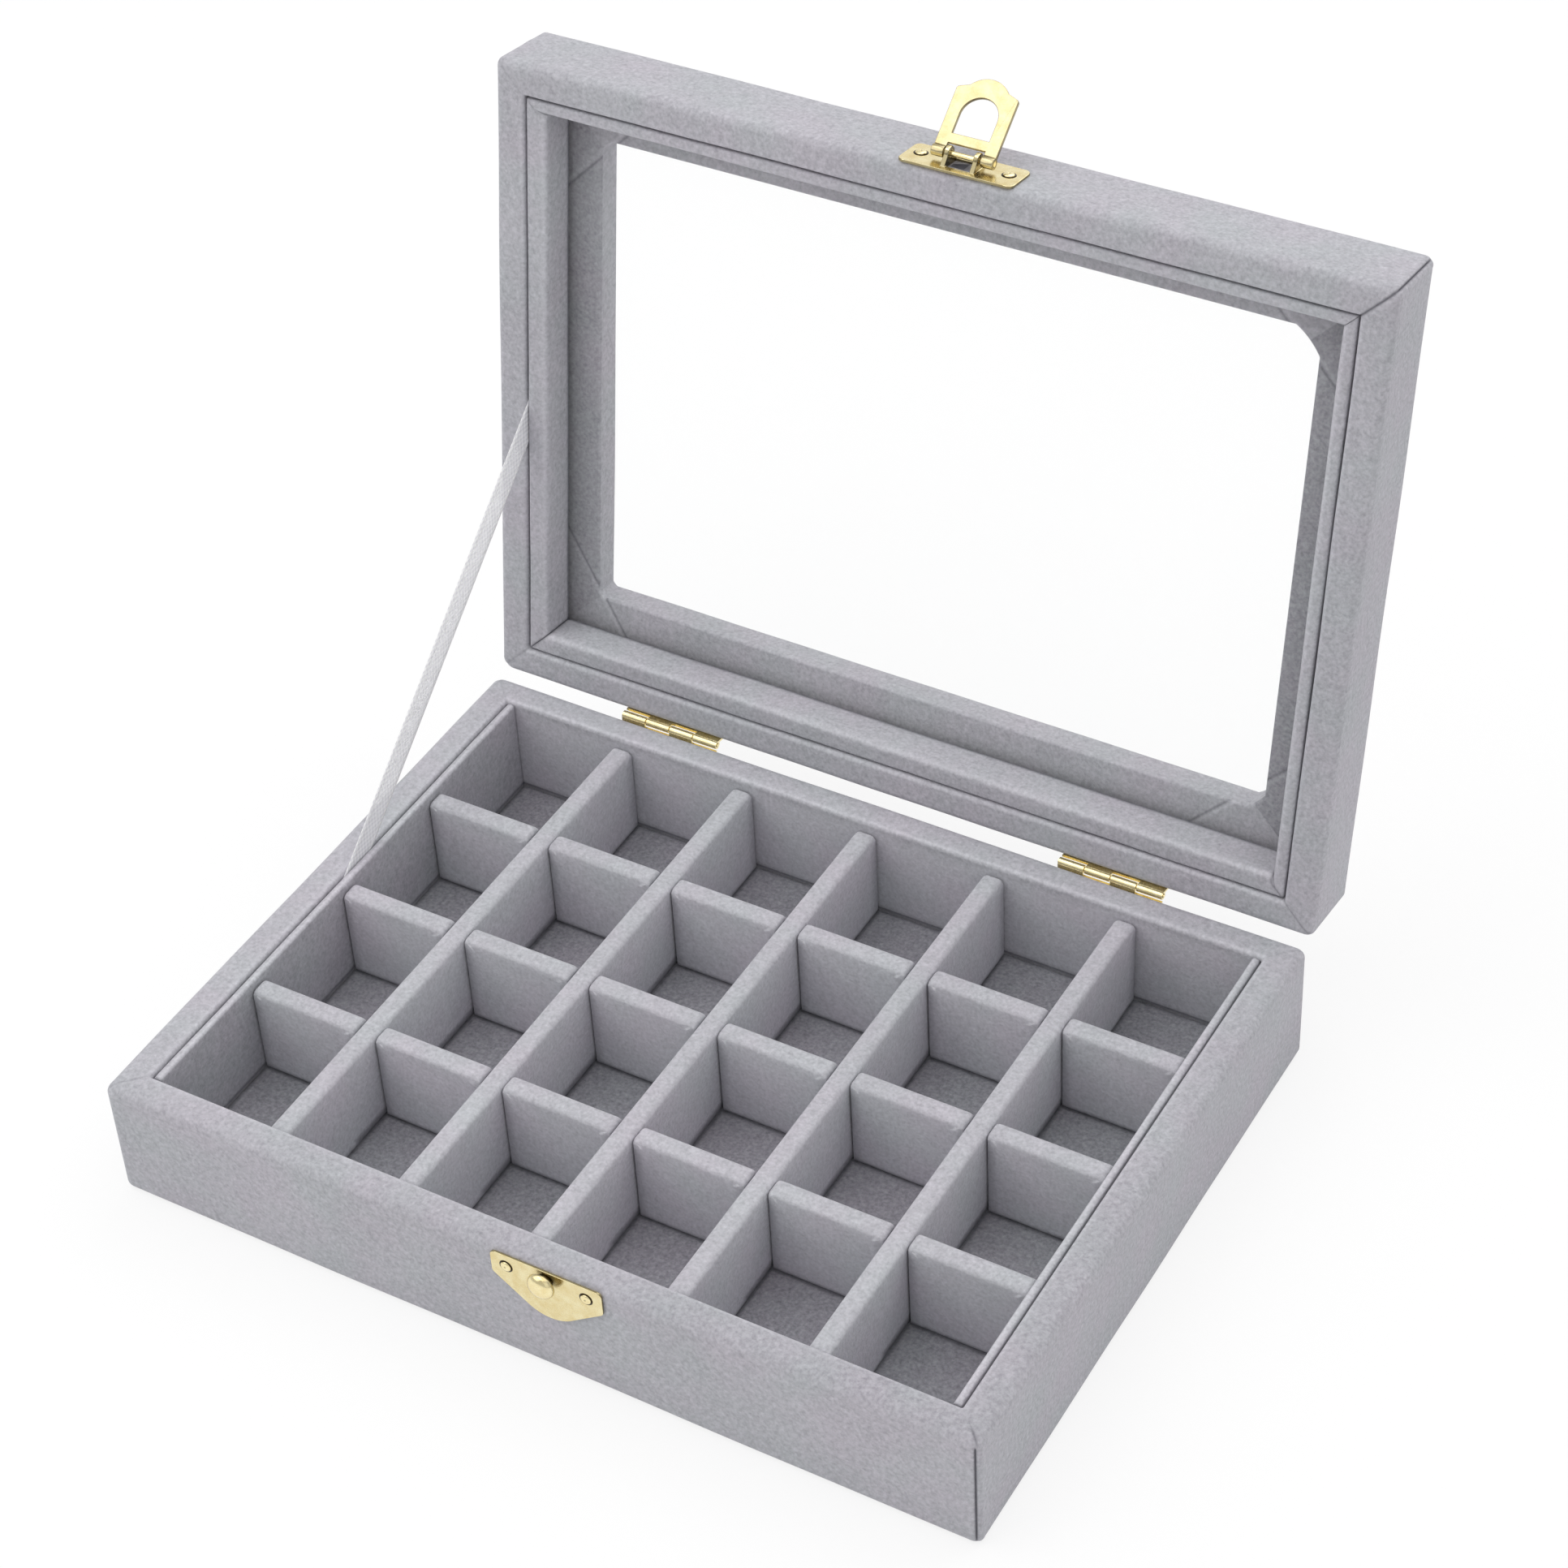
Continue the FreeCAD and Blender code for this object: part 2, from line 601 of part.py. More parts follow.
# Catch plate: straight along its top edge, drawn down to a rounded foot under the knob
catch_half = catch_length / 2
foot_side = catch_height - catch_foot_rise
outline = [
    straight(catch_point, (-catch_half, 0), (catch_half, 0)),
    straight(catch_point, (catch_half, 0), (catch_half, catch_end_height)),
    straight(catch_point, (catch_half, catch_end_height), (catch_foot_half, foot_side)),
    arched(catch_point, (catch_foot_half, foot_side), (0, catch_height), (-catch_foot_half, foot_side)),
    straight(catch_point, (-catch_foot_half, foot_side), (-catch_half, catch_end_height)),
    straight(catch_point, (-catch_half, catch_end_height), (-catch_half, 0)),
]
catch = stamping(outline, forward * plate_thick)
short_edges = [e for e in catch.Edges if e.BoundBox.YLength > plate_thick / 2]
catch_ends = [e for e in short_edges if abs(abs(e.CenterOfMass.x - latch_offset) - catch_half) < 1e-4]
catch = catch.makeFillet(catch_end_round, catch_ends)
nodes["catch_plate"] = catch.cut(base_holes)
nodes["catch_nails"] = Part.makeCompound([nail(p, forward, plate_thick) for p in catch_nail_places])

# Knob: a flared neck under a domed head
knob_foot = Vector(latch_offset, -half_depth - plate_thick, knob_z)
knob_head = knob_foot + forward * knob_neck_length
neck = Part.makeCone(knob_neck_radius, knob_radius, knob_neck_length, knob_foot, forward)
nodes["catch_knob"] = neck.fuse(dome(knob_head, forward, knob_radius, knob_dome)).removeSplitter()

# Ribbon: one flat band, tucked into the left seams of base and lid and drawn tight between them
ribbon_x = -well_x + seam / 2
lid_end = Part.Vertex(ribbon_x, half_depth - ribbon_lid_place, lid_rim)
lid_end.rotate(Vector(0, hinge_y, hinge_z), across, -lid_opening)
ribbon_from = Vector(ribbon_x, ribbon_base_place, base_rim)
ribbon_way = lid_end.Point - ribbon_from
ribbon_free = ribbon_way.Length
ribbon_way.normalize()
ribbon_side = ribbon_way.cross(across)
ribbon_low = ribbon_from - ribbon_way * ribbon_base_tuck
ribbon_high = lid_end.Point + ribbon_way * ribbon_lid_tuck
edge_step = ribbon_side * (ribbon_width / 2)
corners = [ribbon_low - edge_step, ribbon_low + edge_step, ribbon_high + edge_step, ribbon_high - edge_step]
ribbon = Part.Face(Part.makePolygon(corners + corners[:1])).extrude(Vector(ribbon_thick, 0, 0))
ribbon.translate(Vector(-ribbon_thick / 2, 0, 0))
nodes["ribbon_stay"] = ribbon

os.makedirs("parts", exist_ok=True)
for node, shape in nodes.items():
    shape.exportStep("parts/%s.step" % node)
print("%d pieces, free ribbon %.1f mm" % (len(nodes), ribbon_free))
for node, shape in nodes.items():
    if not shape.isValid() or shape.Volume <= 0:
        print("check", node, shape.isValid(), shape.Volume)
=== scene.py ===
import json
import math

import bmesh
import bpy
import numpy as np
from mathutils import Matrix, Vector


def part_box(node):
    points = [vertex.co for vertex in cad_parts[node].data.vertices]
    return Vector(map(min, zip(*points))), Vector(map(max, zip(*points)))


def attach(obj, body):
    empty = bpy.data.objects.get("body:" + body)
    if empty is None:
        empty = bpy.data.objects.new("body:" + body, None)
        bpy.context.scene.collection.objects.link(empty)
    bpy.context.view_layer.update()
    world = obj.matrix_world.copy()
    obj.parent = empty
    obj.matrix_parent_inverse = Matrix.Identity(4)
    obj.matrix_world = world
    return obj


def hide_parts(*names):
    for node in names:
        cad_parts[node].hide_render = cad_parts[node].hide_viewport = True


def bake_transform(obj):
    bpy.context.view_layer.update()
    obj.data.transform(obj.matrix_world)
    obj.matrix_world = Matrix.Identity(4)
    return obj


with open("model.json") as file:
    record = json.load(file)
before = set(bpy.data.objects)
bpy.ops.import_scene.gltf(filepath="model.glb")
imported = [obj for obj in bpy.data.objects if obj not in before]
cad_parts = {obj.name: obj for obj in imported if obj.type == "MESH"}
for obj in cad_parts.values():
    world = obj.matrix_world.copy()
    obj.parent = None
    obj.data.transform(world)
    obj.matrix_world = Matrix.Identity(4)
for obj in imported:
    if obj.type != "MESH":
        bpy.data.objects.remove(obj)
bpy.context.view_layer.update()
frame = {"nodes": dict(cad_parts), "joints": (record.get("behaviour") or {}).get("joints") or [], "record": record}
mm = 0.001
print("frame loaded:", len(frame["nodes"]), "nodes")


def readAll(items, label, width):
    # one value or vector of every point or face as rows of an array
    flat = np.empty(len(items) * width, np.float32)
    items.foreach_get(label, flat)
    return flat.reshape(-1, width).astype(float)


def nodePoints(name):
    return readAll(frame["nodes"][name].data.vertices, "co", 3)


def nodesNamed(start):
    return sorted(name for name in frame["nodes"] if name.startswith(start))


joints = {joint["name"]: joint for joint in frame["joints"]}
hingePoint = np.array(joints["lid_hinge"]["pos_m"])
openAngle = math.radians(joints["lid_hinge"]["range_deg"][1])


def turnAboutHinge(points, angle):
    # rotation about the X line through the hinge pins
    y = points[..., 1] - hingePoint[1]
    z = points[..., 2] - hingePoint[2]
    c, s = math.cos(angle), math.sin(angle)
    return np.stack([points[..., 0], hingePoint[1] + y * c - z * s, hingePoint[2] + y * s + z * c], -1)


def opened(points):
    return turnAboutHinge(points, -openAngle)


def shutBox(name):
    # lowest and highest corner of a lid node when the lid is shut
    points = turnAboutHinge(nodePoints(name), openAngle)
    return points.min(0), points.max(0)


# sizes of the box, read from the frame
coverLow, coverHigh = (np.array(corner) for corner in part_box("base_cover"))
wallLow, wallHigh = (np.array(corner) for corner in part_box("base_wall_left"))
lidLow, lidHigh = shutBox("lid_cover")
lipHigh = shutBox("lid_lip_left")[1]
halfX, halfY, baseTop = coverHigh
pile = wallLow[0] - coverLow[0]
rimWidth = halfX + wallHigh[0] + pile
lidRim, lidTop = lidLow[2], lidHigh[2]
lipUnder = shutBox("glass_pane")[1][2]
lipReach = halfX + lipHigh[0] + pile
boardFloor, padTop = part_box("floor_pad")[0].z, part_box("floor_pad")[1].z


def gridFaces(rows, columns, closeRows, closeColumns):
    # four corners of every cell of a grid, wrapping round where it closes
    r = np.arange(rows if closeRows else rows - 1)
    c = np.arange(columns if closeColumns else columns - 1)
    r, c = (a.ravel() for a in np.meshgrid(r, c, indexing="ij"))
    nextR, nextC = (r + 1) % rows, (c + 1) % columns
    corners = [r * columns + c, r * columns + nextC, nextR * columns + nextC, nextR * columns + c]
    return np.stack(corners, -1)


def addObject(name, data):
    made = bpy.data.objects.new(name, data)
    bpy.context.scene.collection.objects.link(made)
    return made


def makePiece(name, points, faces, material, caps=(), marks=None):
    mesh = bpy.data.meshes.new(name)
    mesh.from_pydata(points.reshape(-1, 3).tolist(), [], faces.tolist() + [list(cap) for cap in caps])
    for label, values in (marks or {}).items():
        attribute = mesh.attributes.new(label, "FLOAT", "POINT")
        attribute.data.foreach_set("value", np.asarray(values, np.float32).ravel())
    mesh.polygons.foreach_set("use_smooth", np.full(len(mesh.polygons), True))
    mesh.update()
    mesh.materials.append(material)
    return addObject(name, mesh)


def closeUp(piece, fill=False):
    # where asked, merge doubled points and close open ends; then turn every face outwards
    work = bmesh.new()
    work.from_mesh(piece.data)
    if fill:
        hair = 0.001 * mm
        bmesh.ops.remove_doubles(work, verts=work.verts, dist=hair)
        bmesh.ops.dissolve_degenerate(work, edges=work.edges, dist=hair)
        bmesh.ops.holes_fill(work, edges=[e for e in work.edges if e.is_boundary], sides=0)
    bmesh.ops.recalc_face_normals(work, faces=work.faces)
    work.to_mesh(piece.data)
    work.free()
    return piece


def settle(piece, body, slot, *nodes):
    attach(piece, body)
    if nodes:
        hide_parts(*nodes)
    return piece


def bell(distance, width):
    return np.exp(-(distance / width) ** 2)


def ramp(distance, width):
    # 0 up to the start, then rising evenly to 1 over the width
    return np.clip(distance / width, 0, 1)


def surfaceNormals(points, closeColumns):
    # cross product of the differences along both directions of a grid whose rows close on themselves
    down = np.roll(points, -1, 0) - np.roll(points, 1, 0)
    ahead, behind = np.roll(points, -1, 1), np.roll(points, 1, 1)
    if not closeColumns:
        ahead[:, -1], behind[:, 0] = points[:, -1], points[:, 0]
    normal = np.cross(down, ahead - behind)
    return normal / np.maximum(np.linalg.norm(normal, axis=-1, keepdims=True), 1e-12)


def roundedOutline(corners, arcSteps, flatStep):
    # a closed outline from rows of (a, b, fillet, extras): each corner becomes an arc tangent to both its
    # sides and keeps its extras
    corners = np.array(corners, float)
    count = len(corners)
    kept = [0, 1] + list(range(3, corners.shape[1]))
    out = []
    for i in range(count):
        here = corners[i]
        before, after = corners[i - 1], corners[(i + 1) % count]
        p, q = before[:2] - here[:2], after[:2] - here[:2]
        p, q = p / np.linalg.norm(p), q / np.linalg.norm(q)
        angle = math.acos(np.clip(p @ q, -1, 1))
        radius = here[2]
        if radius <= 0 or angle > math.pi - 1e-4:
            out.append(here[None, kept])
            continue
        reach = radius / math.tan(angle / 2)
        middle = here[:2] + (p + q) / np.linalg.norm(p + q) * radius / math.sin(angle / 2)
        start, end = here[:2] + p * reach - middle, here[:2] + q * reach - middle
        sweep = math.pi - angle
        t = np.linspace(0, 1, arcSteps + 1)[:, None]
        arc = middle + (start * np.sin((1 - t) * sweep) + end * np.sin(t * sweep)) / math.sin(sweep)
        out.append(np.column_stack([arc, np.repeat(here[None, 3:], arcSteps + 1, 0)]))
    line = np.concatenate(out)
    ahead = np.roll(line, -1, 0)
    # straight stretches are divided so that no step is longer than flatStep
    lengths = np.linalg.norm((ahead - line)[:, :2], axis=1)
    steps = np.maximum(1, np.ceil(lengths / flatStep)).astype(int)
    return np.concatenate([np.linspace(a, b, n, endpoint=False) for a, b, n in zip(line, ahead, steps)])


def ringPath(halfWide, halfDeep, radius, lean, look):
    # one rounded rectangle for each row, from the front right corner round: quarter circles and sides
    # whose points crowd towards the corners; where lean is 1 the arcs are flatter, of their own sizes
    given = (halfWide, halfDeep, radius, lean)
    halfWide, halfDeep, radius, lean = (np.asarray(a, float)[:, None] for a in given)
    turn = np.linspace(0, math.pi / 2, look["arcSteps"] + 1)[None, :]
    share = np.linspace(0, 1, look["arcSteps"] + 1)[None, :, None]
    flat = lean[..., None] * look.get("windowFlat", 0)
    sizes = look.get("windowCorners", (1, 1, 1, 1))
    plain = look.get("cornerSizes", (1, 1, 1, 1))
    arcs = []
    for k, (sx, sy) in enumerate(((1, -1), (1, 1), (-1, 1), (-1, -1))):
        angle = turn + (k - 1) * math.pi / 2
        size = radius * ((1 - lean) * plain[k] + lean * sizes[k])
        x = sx * (halfWide - size) + size * np.cos(angle)
        y = sy * (halfDeep - size) + size * np.sin(angle)
        arc = np.stack([x, y], -1)
        chord = arc[:, :1] * (1 - share) + arc[:, -1:] * share
        arcs.append(arc * (1 - flat) + chord * flat)
    t = 0.5 - 0.5 * np.cos(math.pi * np.linspace(0, 1, look["sideSteps"] + 2)[1:-1][None, :, None])
    out = []
    for k in range(4):
        here, after = arcs[k], arcs[(k + 1) % 4]
        out += [here, here[:, -1:] * (1 - t) + after[:, :1] * t]
    return np.concatenate(out, 1)


def gentleWaves(points, look, seed):
    # sum of sines in random directions: the slight unevenness of glued cloth
    count = 7
    spread = np.random.default_rng(seed)
    total = np.zeros(points.shape[:-1])
    for _ in range(count):
        way = spread.normal(size=3)
        way /= np.linalg.norm(way)
        length = look["waveSize"] * spread.uniform(0.6, 1.6)
        total += np.sin(points @ way * 2 * math.pi / length + spread.uniform(0, 6.3))
    return total / math.sqrt(count) * look["wave"]


class Wire:
    # a value on its way through a material; arithmetic adds Math nodes
    def __init__(self, finish, socket):
        self.finish = finish
        self.socket = socket

    def maths(self, operation, first, second=0.0):
        return self.finish.node("ShaderNodeMath", {"operation": operation}, {0: first, 1: second})

    def __add__(self, other):
        return self.maths("ADD", self, other)

    def __radd__(self, other):
        return self.maths("ADD", other, self)

    def __sub__(self, other):
        return self.maths("SUBTRACT", self, other)

    def __rsub__(self, other):
        return self.maths("SUBTRACT", other, self)

    def __mul__(self, other):
        return self.maths("MULTIPLY", self, other)

    def __rmul__(self, other):
        return self.maths("MULTIPLY", other, self)

    def __truediv__(self, other):
        return self.maths("DIVIDE", self, other)

    def __rtruediv__(self, other):
        return self.maths("DIVIDE", other, self)

    def __abs__(self):
        return self.maths("ABSOLUTE", self)


class Finish:
    # one material; its shader takes plain numbers or wires
    def __init__(self, name, shader="ShaderNodeBsdfPrincipled"):
        self.material = bpy.data.materials.new(name)
        self.material.use_nodes = True
        self.tree = self.material.node_tree
        self.tree.nodes.clear()
        output = self.tree.nodes.new("ShaderNodeOutputMaterial")
        self.shader = self.tree.nodes.new(shader)
        self.tree.links.new(self.shader.outputs[0], output.inputs["Surface"])

    def feed(self, node, sockets):
        for key, value in sockets.items():
            if isinstance(value, Wire):
                self.tree.links.new(value.socket, node.inputs[key])
            else:
                node.inputs[key].default_value = value

    def node(self, kind, settings=None, sockets=None, out=0):
        made = self.tree.nodes.new(kind)
        for key, value in (settings or {}).items():
            setattr(made, key, value)
        self.feed(made, sockets or {})
        return Wire(self, made.outputs[out])

    def mixColour(self, amount, first, second, blend="MIX"):
        settings = {"data_type": "RGBA", "blend_type": blend}
        return self.node("ShaderNodeMix", settings, {0: amount, 6: first, 7: second}, out=2)

    def clamp(self, value):
        return self.node("ShaderNodeClamp", None, {"Value": value})

    def noise(self, scale, detail, roughness):
        place = self.node("ShaderNodeTexCoord", out="Object")
        sockets = {"Vector": place, "Scale": scale, "Detail": detail, "Roughness": roughness}
        return self.node("ShaderNodeTexNoise", None, sockets, out="Fac")

    def mark(self, label):
        return self.node("ShaderNodeAttribute", {"attribute_name": label}, out="Fac")

    def bump(self, strength, distance, height):
        sockets = {"Strength": strength, "Distance": distance, "Height": height}
        return self.node("ShaderNodeBump", None, sockets)

    def set(self, **sockets):
        self.feed(self.shader, {key.replace("_", " "): value for key, value in sockets.items()})


def srgb(r, g, b):
    # screen colour 0-255 to linear light
    c = np.array([r, g, b], float) / 255
    linear = np.where(c <= 0.04045, c / 12.92, ((c + 0.055) / 1.055) ** 2.4)
    return (*linear.tolist(), 1.0)


velvetLook = {
    # deep is the colour that painted shade mixes into the pile
    "dark": srgb(118, 117, 123), "light": srgb(218, 217, 223), "deep": srgb(64, 64, 72),
    "grain": 1350.0, "mottle": 800.0, "cloud": 40.0, "blotch": 62.0, "plain": 0.48,
    "grainShare": 0.56, "mottleShare": 0.36, "cloudShare": 0.12, "paintedLightShare": 0.32,
    "paintedShadeShare": 0.85, "cutLineShadeShare": 0.45, "foldWidth": 0.5,
    "cutLineHighlightShare": 0.5, "cutLineHighlightAt": 0.9, "cutLineHighlightWidth": 0.7,
    "greenish": (0.975, 1.005, 0.99, 1.0), "pinkish": (1.02, 0.99, 1.01, 1.0), "blotchContrast": 3.0,
    "bump": 0.4, "bumpDepth": 0.0004, "bumpGrain": 0.7, "bumpMottle": 0.5,
    "sheen": 0.22, "sheenTint": (0.94, 0.94, 1.0, 1.0),
}


def makeVelvet():
    # tone = pile grain + mottling + soft clouds; a mark of painted light lightens it (below 0: painted shade),
    # with a painted highlight beside cut lines; painted shade darkens creases, seams, corners and the cut lines
    # themselves
    look = velvetLook
    velvet = Finish("greyVelvet")
    grain = velvet.noise(look["grain"], 2.0, 0.6)
    mottle = velvet.noise(look["mottle"], 2.0, 0.6)
    cloud = velvet.noise(look["cloud"], 2.0, 0.5)
    fold = velvet.mark("fold")
    cutLineShade = velvet.clamp(1 - abs(fold) / look["foldWidth"])
    cutLineHighlight = velvet.clamp(1 - abs(fold + look["cutLineHighlightAt"]) / look["cutLineHighlightWidth"])
    tone = (grain - 0.5) * look["grainShare"] + (mottle - 0.5) * look["mottleShare"]
    tone = tone + (cloud - 0.5) * look["cloudShare"]
    tone = tone + (velvet.mark("paintedLight") + cutLineHighlight * look["cutLineHighlightShare"]) * look["paintedLightShare"]
    pileColour = velvet.mixColour(velvet.clamp(tone + look["plain"]), look["dark"], look["light"])
    blotch = (velvet.noise(look["blotch"], 2.0, 0.5) - 0.5) * look["blotchContrast"] + 0.5
    tint = velvet.mixColour(velvet.clamp(blotch), look["greenish"], look["pinkish"])
    pileColour = velvet.mixColour(1.0, pileColour, tint, "MULTIPLY")
    paintedShade = velvet.clamp(velvet.mark("paintedShade") * look["paintedShadeShare"] + cutLineShade * look["cutLineShadeShare"])
    rough = grain * look["bumpGrain"] + mottle * look["bumpMottle"]
    bump = velvet.bump(look["bump"], look["bumpDepth"], rough)
    velvet.set(Base_Color=velvet.mixColour(paintedShade, pileColour, look["deep"]), Normal=bump, Roughness=0.92,
               Specular_IOR_Level=0.15, Sheen_Weight=look["sheen"], Sheen_Roughness=0.45,
               Sheen_Tint=look["sheenTint"])
    return velvet.material


brassLook = {
    "bright": srgb(250, 238, 192), "dull": srgb(232, 210, 150), "tarnishAndShade": srgb(52, 42, 24),
    "stain": 420.0, "stainAt": 0.45, "stainContrast": 2.2, "stainLeast": 0.25, "speck": 2600.0,
    "bump": 0.12, "bumpDepth": 0.0001, "roughness": 0.24, "roughnessSpread": 0.25,
}


def makeBrass():
    # plating with faint stains and fine specks, dark where the tarnish-and-shade mark is set: real tarnish on
    # dulled flats and in nail dimples, painted shade at cut edges, on the knob's neck and round the nail feet
    look = brassLook
    brass = Finish("paleBrass")
    stain = brass.noise(look["stain"], 4.0, 0.6)
    speck = brass.noise(look["speck"], 2.0, 0.6)
    stained = (stain - look["stainAt"]) * look["stainContrast"] + look["stainLeast"]
    plating = brass.mixColour(brass.clamp(stained), look["bright"], look["dull"])
    colour = brass.mixColour(brass.clamp(brass.mark("tarnishAndShade")), plating, look["tarnishAndShade"])
    bump = brass.bump(look["bump"], look["bumpDepth"], stain * 0.5 + speck * 0.5)
    brass.set(Base_Color=colour, Metallic=1.0, Normal=bump,
              Roughness=look["roughness"] + (speck - 0.5) * look["roughnessSpread"])
    return brass.material


glassLook = {"tint": (0.95, 0.97, 0.97, 1.0), "roughness": 0.03, "edgeAlpha": 0.3, "faceAlpha": 0.02}


def makeGlass():
    # clear sheet: it catches light by the cube of how far it is turned edge on
    look = glassLook
    glass = Finish("clearGlass")
    edgeOn = glass.node("ShaderNodeLayerWeight", None, {"Blend": 0.5}, out="Facing")
    alpha = edgeOn * edgeOn * edgeOn * look["edgeAlpha"] + look["faceAlpha"]
    glass.set(Base_Color=look["tint"], Roughness=look["roughness"], Alpha=alpha)
    return glass.material


ribbonLook = {
    "white": srgb(250, 250, 253), "shade": srgb(232, 231, 240), "pitch": 4200.0, "seep": 0.6 * mm,
    "cover": 0.52, "threadCover": 0.16, "edgeCover": 0.34, "bump": 0.25, "bumpDepth": 0.0001,
}


def makeRibbon():
    # plain weave: product of a sine along and a sine across the band, thinner between the threads
    look = ribbonLook
    ribbon = Finish("whiteRibbon")
    uv = ribbon.node("ShaderNodeUVMap", {"uv_map": "weave"})
    waves = []
    for axis in ("X", "Y"):
        place = ribbon.node("ShaderNodeSeparateXYZ", None, {"Vector": uv}, out=axis) * look["pitch"]
        waves.append(place.maths("SINE", place))
    weave = waves[0] * waves[1] * 0.5 + 0.5
    cover = weave * look["threadCover"] + ribbon.mark("edge") * look["edgeCover"] + look["cover"]
    ribbon.set(Base_Color=ribbon.mixColour(weave, look["shade"], look["white"]), Roughness=0.5,
               Normal=ribbon.bump(look["bump"], look["bumpDepth"], weave), Alpha=cover, Sheen_Weight=0.2,
               Subsurface_Weight=1.0, Subsurface_Radius=(1.0, 1.0, 1.0), Subsurface_Scale=look["seep"])
    return ribbon.material


cardLook = {
    "dark": srgb(104, 104, 110), "light": srgb(138, 138, 145),
    "fleck": 900.0, "detail": 4.0, "bump": 0.2, "bumpDepth": 0.0002, "roughness": 0.85,
}
boardLook = {
    "dark": srgb(150, 118, 84), "light": srgb(190, 158, 118),
    "fleck": 700.0, "detail": 5.0, "bump": 0.0, "roughness": 0.8,
}


def makeFlecked(name, look):
    # card and board: two shades mixed by a fine noise
    sheet = Finish(name)
    fleck = sheet.noise(look["fleck"], look["detail"], 0.7)
    sheet.set(Base_Color=sheet.mixColour(fleck, look["dark"], look["light"]), Roughness=look["roughness"])
    if look["bump"]:
        sheet.set(Normal=sheet.bump(look["bump"], look["bumpDepth"], fleck))
    return sheet.material


finishes = {
    "velvet": makeVelvet(), "brass": makeBrass(), "glass": makeGlass(), "ribbon": makeRibbon(),
    "card": makeFlecked("greyCard", cardLook), "board": makeFlecked("rawFibreboard", boardLook),
}
for entry in frame["record"]["subparts"]:
    node = frame["nodes"][entry["node"]]
    node.data.materials.clear()
    node.data.materials.append(finishes[entry["material_slot"]])
print("finishes made")

# the fold mark of cloth with no cut edge near it
noFold = 50.0


def velvetPiece(name, points, faces, body, node, paintedLight, paintedShade, fold=None, caps=(), fill=False):
    # the painted-light mark lightens the pile, or darkens it below 0 as painted shade; the painted-shade mark 0-1
    # darkens creases, seams and corners; fold is the distance in mm from a cloth edge, below 0 on the patch itself
    marks = {"paintedLight": paintedLight, "paintedShade": paintedShade, "fold": np.full(paintedLight.shape, noFold) if fold is None else fold}
    piece = makePiece(name, points, faces, finishes["velvet"], caps, marks)
    return settle(closeUp(piece, fill), body, "velvet", node)


cameraLook = {
    "azimuth": 32.0, "elevation": 41.32, "roll": -3.474, "distance": 757.88 * mm,
    "target": (0.51 * mm, 30.80 * mm, 61.06 * mm), "lens": 85.13, "shift": (0.00222, 0.01924),
}


def makeCamera():
    look = cameraLook
    a, e, r = (math.radians(look[k]) for k in ("azimuth", "elevation", "roll"))
    back = Vector((math.sin(a) * math.cos(e), -math.cos(a) * math.cos(e), math.sin(e)))
    right = (-back).cross(Vector((0, 0, 1))).normalized()
    up = right.cross(-back)
    right, up = right * math.cos(r) + up * math.sin(r), up * math.cos(r) - right * math.sin(r)
    data = bpy.data.cameras.new("view")
    data.sensor_width = 36.0
    data.lens = look["lens"]
    data.shift_x, data.shift_y = look["shift"]
    data.clip_start = 0.01
    camera = addObject("view", data)
    turn = Matrix((right, up, back)).transposed().to_4x4()
    camera.matrix_world = Matrix.Translation(Vector(look["target"]) + back * look["distance"]) @ turn
    bpy.context.scene.camera = camera


makeCamera()

# the stay's route: tucked end in the base, the seams it leaves and enters, tucked end in the lid
ribbonSize = {
    "width": 6.6 * mm, "thick": 0.16 * mm, "curl": 0.35 * mm, "acrossSteps": 13,
    "tuckShare": 0.12, "edge": 0.8,
    "route": [(-0.0927, -0.000495, 0.02301), (-0.0927, 0.0080, 0.0300),
              (-0.0927, 0.08518, 0.09350), (-0.0927, 0.09213, 0.09922)],
}


